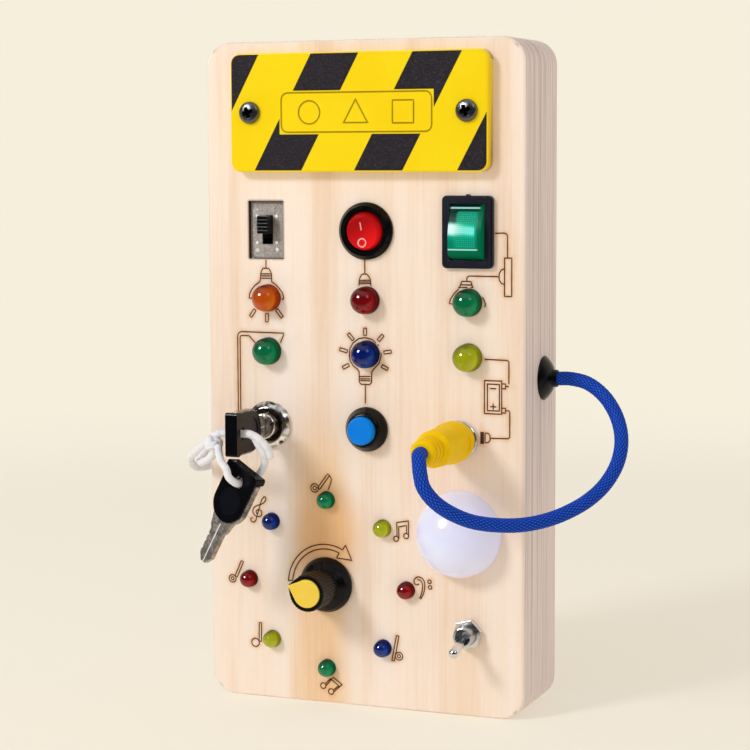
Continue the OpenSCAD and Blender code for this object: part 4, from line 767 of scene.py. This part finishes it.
notes = [
    loop(-15.9, 66, 1.3), loop(-15.9, 66, 0.6), bar((-14.6, 65.9), (-11.3, 70.3), 0.8),
    [(-11, 70.1), (-10.4, 69), (-10.6, 67.8), (-11.4, 65.9)],
    loop(-43.7, 36.3, 1.2), loop(-43.7, 36.3, 0.5), bar((-42.5, 37), (-40.3, 41.9), 0.8),
    loop(-36.1, 16.8, 1.3), bar((-34.5, 17.3), (-34.4, 23.1), 0.8),
    loop(-13.5, 5.2, 0.9), loop(-10.9, 3.6, 0.9), [(-12.8, 5.8), (-11.1, 7.6), (-8.4, 5.6), (-10.2, 4.1)],
    [(-12.6, 5.2), (-10.2, 8.1), (-7.3, 6.1), (-10, 3.6)],
    loop(10.5, 52.1, 0.8), loop(13.7, 53.1, 0.8),
    [(10.8, 52.9), (10.7, 57), (14.4, 57.7), (14.5, 53.2)],
    [(11.4, 52.4), (11.3, 55.7), (13.8, 56.3), (13.9, 53.9)],
    bar((10.9, 22.6), (9.4, 14.9), 0.8), loop(11.3, 16.4, 1.2), loop(11.3, 16.4, 0.5)]
lines = bulb_left + bulb_middle + bulb_right + lamp_post + bulb_blue + battery + arrow + treble + bass + notes
print(len(lines), "strokes")

# %% [markdown]
# ## Cutting the lines into a flat face
# A boolean with a bent cutter for each stroke would work, but it leaves long thin triangles and no way to
# say how near a point is to a line. Here the flat front is taken off and triangulated again with the lines'
# edges as fixed edges, and what lies between them is pushed in. Rows of extra points beside the lines carry
# the smoke stain, and points round the holes carry the burnt rim.

# %% Editable copies
def workbench(mesh, weld=0):
    """An editable copy of a mesh, in which points closer than weld are made one."""
    work = bmesh.new()
    work.from_mesh(mesh)
    if weld:
        bmesh.ops.remove_doubles(work, verts=work.verts, dist=weld)
    return work

def from_work(name, work):
    mesh = bpy.data.meshes.new(name)
    work.to_mesh(mesh)
    work.free()
    return add(name, mesh)

def points_of(mesh):
    return np.array([v.co for v in mesh.vertices])

# %% Flats that shade flat
def true_flats(mesh, sharp):
    """Lets the largest flat at a corner lead the shading there, so that wide faces stay plain."""
    mesh.shade_smooth()
    mesh.set_sharp_from_angle(angle=radians(sharp))
    work = workbench(mesh)
    weight = {}
    for first in work.faces:
        if first in weight:
            continue
        weight[first], region, total = 0, [first], 0
        for face in region:
            total += face.calc_area()
            for edge in face.edges:
                for other in edge.link_faces:
                    if other not in weight and other.normal.dot(face.normal) > 0.99999:
                        weight[other] = 0
                        region.append(other)
        for face in region:
            weight[face] = total
    normals = [None] * len(mesh.loops)
    for vert in work.verts:
        groups = {face: {face} for face in vert.link_faces}
        for edge in vert.link_edges:
            if edge.smooth and len(edge.link_faces) == 2:
                a, b = (groups[face] for face in edge.link_faces)
                if a is not b:
                    a |= b
                    groups.update({face: a for face in b})
        for loop in vert.link_loops:
            lead = sum((face.normal * weight[face] for face in groups[loop.face]), Vector())
            normals[loop.index] = lead.normalized()
    work.free()
    mesh.normals_split_custom_set(normals)

# %% Distances on the face
def spread(stroke, step):
    p = np.array(stroke, float)
    parts = []
    for a, b in zip(p, p[1:]):
        count = max(1, int(ceil(np.linalg.norm(b - a) / step)))
        parts.append(a + (b - a) * np.arange(count)[:, None] / count)
    return np.vstack(parts + [p[-1:]])

def distance(points, segments):
    """How far each point is from the nearest segment, worked out in portions that fit in memory."""
    starts, ends = segments
    best = np.full(len(points), 1e9)
    for k in range(0, len(starts), 64):
        s, way = starts[k:k + 64], ends[k:k + 64] - starts[k:k + 64]
        t = ((points[:, None] - s) * way).sum(2) / np.maximum((way * way).sum(1), 1e-12)
        near = s + np.clip(t, 0, 1)[:, :, None] * way
        best = np.minimum(best, np.linalg.norm(points[:, None] - near, axis=2).min(1))
    return best

def inside(points, rim):
    """True where a point has an odd number of rim edges to its right."""
    hits = np.zeros(len(points), int)
    for s, e in zip(*rim):
        cross = (s[1] > points[:, 1]) != (e[1] > points[:, 1])
        at = s[0] + (points[:, 1] - s[1]) / ((e[1] - s[1]) or 1e-12) * (e[0] - s[0])
        hits += cross & (points[:, 0] < at)
    return hits % 2 == 1

# %% Outlines of the grooves
def offset(run, by):
    way = np.gradient(run, axis=0)
    way /= np.maximum(np.linalg.norm(way, axis=1), 1e-9)[:, None]
    return run + by * np.stack([-way[:, 1], way[:, 0]], 1)

def beside(rim, away, step):
    """Points at one distance on both sides of every rim edge, and clear of all the others."""
    edges = [spread(edge, step) for edge in zip(*rim)]
    q = np.vstack([offset(edge, way) for edge in edges for way in (away, -away)])
    return [tuple(p) for p in q[inside(q, rim) & (distance(q, rim) > away * 0.9)]]

def clear_runs(stroke, rim, room):
    """The parts of a stroke that keep clear of the rims."""
    p = spread(stroke, 0.5)
    good = (distance(p, rim) > room) & inside(p, rim)
    stretches = np.split(np.arange(len(p)), np.flatnonzero(np.diff(good)) + 1)
    return [p[k] for k in stretches if good[k[0]] and len(k) > 1]

# %% Cut the lines into a copy of a piece
def engrave(name, node, front, strokes, width, depth, burnt_rim=False):
    """Takes the flat front off, draws rims and grooves on it, and fills it again with the grooves sunk."""
    work = workbench(frame["nodes"][node].data, weld=1e-6)
    flat = [f for f in work.faces if all(abs(v.co.y / MM - front) < 1e-3 for v in f.verts)]
    chosen = set(flat)
    rim_edges = [e for e in work.edges if len([f for f in e.link_faces if f in chosen]) == 1]
    bmesh.ops.delete(work, geom=flat, context="FACES_ONLY")
    rim_verts = sorted({v for e in rim_edges for v in e.verts}, key=lambda v: v.index)
    number = {v: i for i, v in enumerate(rim_verts)}
    points = [(v.co.x / MM, v.co.z / MM) for v in rim_verts]
    edges = [(number[e.verts[0]], number[e.verts[1]]) for e in rim_edges]
    rim = [np.array([points[edge[end]] for edge in edges]) for end in (0, 1)]
    loose = [v for v in work.verts if not v.link_faces and v not in number]
    bmesh.ops.delete(work, geom=loose, context="VERTS")
    middles = []
    for stroke in strokes:
        for run in clear_runs(stroke, rim, width / 2 + 0.12):
            middles.append(run)
            ring = [tuple(q) for q in np.vstack([offset(run, width / 2), offset(run, -width / 2)[::-1]])]
            edges += [(len(points) + k, len(points) + (k + 1) % len(ring)) for k in range(len(ring))]
            points += ring
            for away in (-0.55, 0.55, -1.0, 1.0, -1.7, 1.7):
                points += [tuple(q) for q in offset(run, away)[::2]]
    if burnt_rim:
        points += beside(rim, 0.3, 0.8) + beside(rim, 0.8, 1.2)
    grooves = [np.vstack([run[:-1] for run in middles]), np.vstack([run[1:] for run in middles])]
    fill(work, rim_verts, points, edges, rim, grooves, width, front, depth)
    piece = from_work(name, work)
    scorch(piece, rim, grooves, front, depth, burnt_rim)
    true_flats(piece.data, 24)
    print(name, len(piece.data.vertices), "points", len(piece.data.polygons), "faces")
    return stand_for(node, piece, "striped_plate" if node == "battery_cover" else None)

# %% Triangulate the face again and push the grooves in
def make_face(work, corners):
    """Adds a face, unless there is one already or it has no area."""
    try:
        work.faces.new(corners)
    except ValueError:
        pass

def fill(work, rim_verts, points, edges, rim, grooves, width, front, depth):
    verts, _, faces, origin, _, _ = delaunay_2d_cdt([Vector(p) for p in points], edges, [], 0, 1e-5)
    flat = np.array([tuple(v) for v in verts])
    tri = np.array([f for f in faces if len(f) == 3])
    tri = tri[inside(flat[tri].mean(1), rim)]
    sunk = distance(flat[tri].mean(1), grooves) < width / 2
    new = lambda i, y: work.verts.new((flat[i][0] * MM, y * MM, flat[i][1] * MM))
    top = {}
    for i in set(tri.ravel()):
        kept = [rim_verts[k] for k in origin[i] if k < len(rim_verts)]
        top[i] = kept[0] if kept else new(i, front)
    low = {i: new(i, front + depth) for i in set(tri[sunk].ravel())}
    owners = {}
    for t, deep in zip(tri, sunk):
        a, b, c = flat[t]
        turn = (b[0] - a[0]) * (c[1] - a[1]) - (b[1] - a[1]) * (c[0] - a[0])
        make_face(work, [(low if deep else top)[i] for i in (t if turn > 0 else t[::-1])])
        for i, j in zip(t, np.roll(t, -1)):
            owners.setdefault(frozenset((i, j)), []).append(deep)
    for edge, sides in owners.items():
        if len(sides) == 2 and sides[0] != sides[1]:
            i, j = edge
            make_face(work, [top[i], top[j], low[j], low[i]])
    bmesh.ops.delete(work, geom=[v for v in work.verts if not v.link_faces], context="VERTS")
    bmesh.ops.recalc_face_normals(work, faces=work.faces)

# %% Say how burnt and how stained each point is
def scorch(piece, rim, grooves, front, depth, burnt_rim):
    co = points_of(piece.data) / MM
    flat, deep = co[:, [0, 2]], co[:, 1] - front
    near_zero, smoke_reach, line_burn, rim_burn, slide_burn = 0.02, 0.8, 0.55, 0.4, 1.0
    to_line = distance(flat, grooves)
    wobble = 0.75 + 0.25 * np.sin(flat[:, 0] * 1.3 + 2 * np.sin(flat[:, 1] * 0.9))
    on_face, sunk = np.abs(deep) < near_zero, deep > near_zero
    stain = np.where(on_face, np.exp(-(to_line / smoke_reach) ** 2) * wobble, 0)
    burn = np.where(sunk & (deep < depth + near_zero) & (to_line < 0.6), line_burn, 0.0)
    if burnt_rim:
        near = lambda x, z, wide, tall: (np.abs(co[:, 0] - x) < wide) & (np.abs(co[:, 2] - z) < tall)
        board, slide, to_rim = near(0, 100, 48.5, 97.5), near(-31.3, 143.8, 7, 10), distance(flat, rim)
        burn = np.where(board & on_face & slide & (to_rim < 0.34), rim_burn, burn)
        burn = np.where(board & on_face & (to_rim < 0.05), np.where(slide, slide_burn, rim_burn), burn)
        burn = np.where(board & sunk & (deep < WALL + 0.1), 1.0, burn)
    point_value(piece, "stain", stain)
    point_value(piece, "burn", burn)

# %% The case and its burnt lines
engrave("pine_case", "case", FRONT, lines, width=0.4, depth=0.2, burnt_rim=True)

# %% [markdown]
# ## The plaque on the cover
# A plain plaque with a circle, a triangle and a square, three simple shapes that suit a board for small
# children, is cut into the cover the same way as the lines on the wood.

# %% The cover and its plaque
def frame_of(cx, cz, w, h, r):
    x, z = w / 2 - r, h / 2 - r
    return (bow(cx + x, cz + z, r, 0, 90) + bow(cx - x, cz + z, r, 90, 180) + bow(cx - x, cz - z, r, 180, 270)
            + bow(cx + x, cz - z, r, 270, 360) + [(cx + w / 2, cz + z)])

shapes = [frame_of(*PLAQUE_AT, 47.6, 11.6, 2), loop(-15, PLAQUE_AT[1], 3.4),
          [(-0.2, 182.4), (-4, 175.6), (3.6, 175.6), (-0.2, 182.4)],
          [(11.4, 182), (11.4, 175.4), (18, 175.4), (18, 182), (11.4, 182)]]
engrave("striped_cover", "battery_cover", COVER_FRONT, shapes, width=0.5, depth=0.25)

# %% [markdown]
# ## Softer edges
# Moulded and turned parts never have knife edges. Each rigid piece that shows is copied, welded and given
# narrow rounded edges, so that light runs along them. The copy stands for the piece and rides with it.

# %% Round the edges of a piece
def soften(node, width, finish=None):
    work = workbench(frame["nodes"][node].data, weld=2e-6)
    bmesh.ops.dissolve_limit(work, angle_limit=radians(0.6), verts=work.verts, edges=work.edges)
    edges = [e for e in work.edges if e.is_manifold and e.calc_face_angle(0) > radians(32)]
    bmesh.ops.bevel(work, geom=edges, offset=width * MM, offset_type="OFFSET", segments=2, profile=0.5,
                    affect="EDGES", clamp_overlap=True, loop_slide=True)
    bmesh.ops.remove_doubles(work, verts=work.verts, dist=1e-6)
    piece = from_work("soft_" + node, work)
    if "key_head" in node:
        slimmer(piece.data)
    true_flats(piece.data, 38)
    return stand_for(node, piece, finish)

# %% Keys are slimmer than their solids, with sunk flats
def slimmer(mesh, by=0.84):
    """Draws a flat piece in across its thickness."""
    co = points_of(mesh)
    middle = (co.max(0) + co.min(0)) / 2
    across = Vector(np.linalg.eigh(np.cov(co.T))[1][:, 0])
    for v in mesh.vertices:
        v.co -= across * (v.co - Vector(middle)).dot(across) * (1 - by)

def mark_sunk(piece, low, high):
    """Marks the flats that lie sunk below a flat piece's own faces, between low and high from its middle."""
    mesh = piece.data
    co = points_of(mesh)
    across = np.linalg.eigh(np.cov(co.T))[1][:, 0]
    height = co @ across
    height = np.abs(height - (height.max() + height.min()) / 2) / MM
    sunk = [v for f in mesh.polygons if abs(np.dot(f.normal, across)) > 0.97
            and all(low < height[v] < high for v in f.vertices) for v in f.vertices]
    marked = np.zeros(len(co))
    marked[sunk] = 1
    point_value(piece, "sunk", marked)
    print(piece.name, "has", len(set(sunk)), "sunk points")

# %% Soften what shows
for node, width, *finish in (
        ("slide_knob", 0.12), ("slide_frame", 0.12, "stamped_frame"), ("round_housing", 0.3),
        ("round_button", 0.2), ("green_housing", 0.3, "navy_plastic"), ("green_button", 0.25),
        ("push_housing", 0.25), ("push_cap", 0.3), ("lock_plug", 0.15, "turned_chrome"), ("key_head", 0.5),
        ("key_blade", 0.15), ("spare_key_head", 0.5), ("spare_key_blade", 0.15), ("toggle_nut", 0.25),
        ("toggle_body", 0.15), ("socket_ring", 0.15), ("plug_body", 0.3), ("cord_grommet", 0.3),
        ("string_grommet", 0.3)):
    piece = soften(node, width, *finish)
    # The sunk grooves of the blades are painted near white in the steel finish, a painted highlight.
    for kind, low, high in (("key_blade", 0.4, 0.78), ("key_head", 1.15, 1.42)):
        if kind in node:
            mark_sunk(piece, low, high)
print("edges rounded")

# %% [markdown]
# ## Lamps
# A lamp is a round-nosed rod with a thin flange behind the wood, so it is made as on a lathe: one outline is
# spun about its axis. Spinning it here gives a smooth nose and lets each point carry painted light and shade:
# lighter on the side away from the lamp light, with a dark crescent round the edge.

# %% Spin an outline
def spin(outline, centre, around=48, closed=False):
    """Points and faces of a turned solid. A radius or a height may be a rule for each direction."""
    at = lambda value, t: value(t) if callable(value) else value
    points = [(centre[0] + at(r, t) * cos(t), FRONT - at(out, t), centre[1] + at(r, t) * sin(t))
              for r, out in outline for t in np.arange(around) * 2 * pi / around]
    return points, tube_faces(len(outline), around, closed)

def joined(solids):
    points, faces = [], []
    for more, turned in solids:
        faces += [tuple(i + len(points) for i in face) for face in turned]
        points += more
    return points, faces

def turned_piece(name, node, solids, sharp, finish=None):
    """A piece of spun solids that stands for a node, with all its faces turned outward."""
    piece = mesh_piece(name, *joined(solids))
    work = workbench(piece.data)
    bmesh.ops.recalc_face_normals(work, faces=work.faces)
    work.to_mesh(piece.data)
    work.free()
    piece.data.set_sharp_from_angle(angle=radians(sharp))
    return stand_for(node, piece, finish)

# %% A lamp, with painted light and shade through it
def lamp_outline(d, out, flange):
    back, nose = -WALL - flange, out - d / 2
    dome = [(d / 2 * cos(t), nose + d / 2 * sin(t)) for t in np.linspace(0, pi / 2 - 0.03, 16)]
    r, lip = d / 2, d / 2 + 0.45
    flange = [(r + 0.3, back), (lip, back + 0.15), (lip, -WALL - 0.15), (r + 0.3, -WALL)]
    return flange + [(r, -WALL), (r, -1.5)] + dome

def clamp(value):
    return min(1, max(0, value))

def lamps(node, places, d, out, flange, bright):
    solids = [spin(lamp_outline(d, out, flange), place) for place in places]
    glow, wet = [], []
    for (cx, cz), (points, _) in zip(places, solids):
        for x, _, z in points:
            u, v = (x - cx) / (d / 2), (z - cz) / (d / 2)
            low_right, off = 0.75 * u - 0.65 * v, (u * u + v * v) ** 0.5
            # Painted shade: a dark crescent at the edge on the lower right. Painted light: lighter towards
            # the lower right.
            shade = clamp((off - 0.93) / 0.07) * clamp(0.55 + low_right)
            wet.append(clamp((0.94 - off) / 0.22))
            glow.append(bright + 0.62 * low_right * off * off * (1 - shade) - 0.16 * shade)
    piece = turned_piece("lens_" + node, node, solids, 35)
    point_value(piece, "glow", glow)
    point_value(piece, "wet", wet)

# %% Fourteen lamps and their wires
def around_knob(turn, ring_r=25.8):
    return KNOB_AT[0] + ring_r * cos(radians(turn)), KNOB_AT[1] + ring_r * sin(radians(turn))

left, middle, right, upper, lower = LOCK_AT[0], 1.4, 33.5, 123.3, 107.2
wired = []
for node, places in (("led_amber", [(left, upper)]), ("leds_green", [(left, lower), (right, upper)]),
                     ("led_red", [(middle, upper)]), ("led_blue", [(middle, lower)]),
                     ("led_lime", [(right, lower)])):
    lamps(node, places, d=8, out=6.5, flange=1.5, bright=0.42)
    wired += [(place, -5.6, -13.6, 0) for place in places]
for k, colour in enumerate(("green", "lime", "red", "blue")):
    turns = (90 - 45 * k, -90 - 45 * k)
    lamps("ring_leds_" + colour, [around_knob(turn) for turn in turns], d=5, out=4.1, flange=1, bright=0.52)
    wired += [(around_knob(turn), -5.1, -11.3, turn) for turn in turns]
wires, wire_r, apart = [], 0.3, 1.27
for (x, z), start, end, turn in wired:
    c, s = apart * cos(radians(turn)), apart * sin(radians(turn))
    wires += [spin([(wire_r, end), (wire_r, start)], (x + k * c, z + k * s), 12) for k in (-1, 1)]
lamp_wires = mesh_piece("lamp_wires", *joined(wires))
dress(lamp_wires, "steel")
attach(lamp_wires, "board")
print(len(wires), "wires under the lamps")

# %% [markdown]
# ## Knob and lock
# The grip of the knob is a round bar with a nose that points, and fine flutes for the fingers. Its radius
# is worked out for each direction, so one spin draws nose, flutes and skirt. The yellow cap uses the same
# rule without flutes. The lock's bezel is a ring with a thin lip, a slope and a wide mouth.
# Each cover screw is a spun dome whose height drops inside a cross.

# %% Outline with a nose
def nosed(r, reach, flute=0.0, count=36, towards=radians(160)):
    half = acos(r / reach)
    def radius(t):
        away = abs((t - towards + pi) % (2 * pi) - pi)
        if away < half:
            return min(reach - 0.06, r / cos(half - away))
        return r - flute * (0.5 - 0.5 * cos(count * (away - half))) ** 1.5
    return radius

# %% Knob and its cap
grip = [(3.1, 12.6), (3.1, 3.2), (6.2, 3.2), (6.2, 0.6), (8.25, 0.6), (8.4, 0.75), (8.4, 1.5), (8.3, 1.75),
        (7.5, 3.8), (7.3, 4.05), (nosed(5.9, 7.9), 5.0), (nosed(5.62, 7.6), 5.3),
        (nosed(5.6, 7.55, 0.22), 5.7), (nosed(5.55, 6.5, 0.22), 15.3), (nosed(5.48, 6.35, 0.2), 15.8),
        (nosed(5.3, 6.15, 0.1), 16.0), (nosed(4.5, 5.85), 16.0), (nosed(4.4, 5.75), 15.9),
        (nosed(4.4, 5.75), 15.0)]
cap = [(nosed(4.25, 5.6), 15.05), (nosed(4.25, 6.1), 16.0), (nosed(4.2, 6.3), 16.08),
       (nosed(4.1, 6.2), 16.15)]
turned_piece("knob_grip", "knob_body", [spin(grip, KNOB_AT, 540)], 30)
turned_piece("knob_cap_face", "knob_cap", [spin(cap, KNOB_AT, 540)], 30)

# %% Bezel of the lock
bezel, = table("""
4 -14, 4 1.1, 5.3 2.35, 5.42 2.45, 5.55 2.42, 6.95 1.12, 7.02 1, 7.1 0.95, 7.18 0.85, 7.2 0.7, 7.2 0.01,
  5.9 0.01, 5.9 -14
""")
turned_piece("lock_bezel", "lock_body", [spin(bezel, LOCK_AT, 96, closed=True)], 32, "turned_chrome")
print("knob and lock turned")

# %% Cross-head screws of the cover
def crossed(r, towards=radians(20)):
    """How deep the cross is at one radius, for any direction. It slopes in from its ends."""
    def depth(t):
        u, v = abs(r * cos(t - towards)), abs(r * sin(t - towards))
        arm = lambda along, over: clamp((0.62 - over) / 0.14) * clamp((1.75 - along) / 0.5)
        return max(arm(u, v), arm(v, u))
    return depth

def head(r, front):
    cross, dome = crossed(r), front + 0.15 + 1.95 * max(0, 1 - (r / 3.32) ** 2) ** 0.4
    return lambda t: dome - 1.1 * cross(t)

cover_front = -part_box("battery_cover")[0][1] / MM + FRONT
rings, around = np.linspace(3.28, 0.04, 40), 160
screw = [(1.5, -6), (1.5, cover_front), (3.3, cover_front), (3.32, cover_front + 0.15)]
deep = [0.0] * len(screw) * around
deep += [crossed(r)(t) for r in rings for t in np.arange(around) * 2 * pi / around]
screw += [(r, head(r, cover_front)) for r in rings]
screws = turned_piece("cover_screw_heads", "cover_screws",
                      [spin(screw, (x, COVER_Z), around) for x in (-34.3, 34.3)], 36)
# The sunk cross is painted near black in the screws' finish: painted shade.
point_value(screws, "sunk", deep * 2)
print("cover screws at", round(cover_front, 2))

# %% [markdown]
# ## Floor and light
# The board stands on a pale floor that runs into a pale wall with no line between them. The floor is a real
# surface near the board, so that it takes the shadow, and turns into its own plain colour further off. One
# wide lamp from the upper left in front gives the soft shadows, and the sky fills them. What shiny pieces
# mirror is a sky of its own: a dark room with a bright ceiling, a bright wall and one small lamp.

# %% Floor
cream = (246, 239, 220)
f = Finish("floor", Roughness=0.9, Specular_IOR_Level=0.0, Base_Color=(255, 248, 232))
_, x, y, _ = f.place()
away = 0.45 + f.between((x * x + y * y).math("SQRT"), 350, 800) * 0.55
glow, dim = (f.node("Emission", {}, {"Color": colour})
             for colour in (f.mix(away, (255, 249, 233), cream), (0.06, 0.055, 0.05, 1)))
front = f.node("LightPath", out="Is Glossy Ray") * f.between(y, -60, -260)
f.feed(f.tree.nodes["Material Output"].inputs["Surface"],
       f.either(front, f.either(away, Wire(f, f.shader.outputs[0]), glow), dim))
far = 3000
floor = mesh_piece("floor", [(-far, -far, 0), (far, -far, 0), (far, far, 0), (-far, far, 0)], [(0, 1, 2, 3)],
                   smooth=False)
floor.data.materials.append(f.material)
print("floor", 2 * far / 1000, "m wide")

# %% Sky
class Sky(Finish):
    def __init__(self):
        world = bpy.data.worlds.new("sky")
        bpy.context.scene.world = world
        world.use_nodes = True
        self.tree = world.node_tree

    def plain(self, colour, strength=1.0):
        return self.node("Background", {}, {"Color": paint(colour), "Strength": strength})

f = Sky()
way = f.node("TexCoord", out="Generated")
x, y, z = f.split(way)
behind = f.between(y, -0.1, 0.35)
right_box = f.between(x * 0.68 - y * 0.41 + z * 0.6, 0.965, 0.985)
above = f.between(z, 0.55, 0.9)
lamp_spot = f.between(z * 0.5 - x * 0.505 - y * 0.7, 0.986, 0.991)
room = f.ramp(f.between(z, -0.6, 0.6), (0, (0.1, 0.085, 0.07, 1)), (1, (0.03, 0.03, 0.035, 1)))
shine = f.mix(behind, room, cream)
for box, light in ((above, 0.7), (right_box, 2.2), (lamp_spot, 60)):
    shine = f.mix(box, shine, (light, light, light, 1))
seen, through, mirrored = (f.node("LightPath", out="Is %s Ray" % kind)
                           for kind in ("Camera", "Transmission", "Glossy"))
around = f.either(mirrored, f.plain((1, 0.945, 0.895, 1), 0.64), f.plain(shine))
f.feed(f.tree.nodes["World Output"].inputs["Surface"],
       f.either(seen.math("MAXIMUM", through), around, f.plain(cream)))
print("sky of", len(f.tree.nodes), "nodes")

# %% Lamp
data = bpy.data.lights.new("key_lamp", "AREA")
data.shape, data.size, data.energy, data.color = "DISK", 0.42, 10.6, (0.955, 0.99, 1.03)
place, target = Vector((-0.75, -1.22, 1.0)), Vector((0, 0, 0.1))
turn = (target - place).to_track_quat("-Z", "Y").to_matrix().to_4x4()
add("key_lamp", data).matrix_world = Matrix.Translation(place) @ turn
print("lamp stands", round((target - place).length, 2), "m from the board")
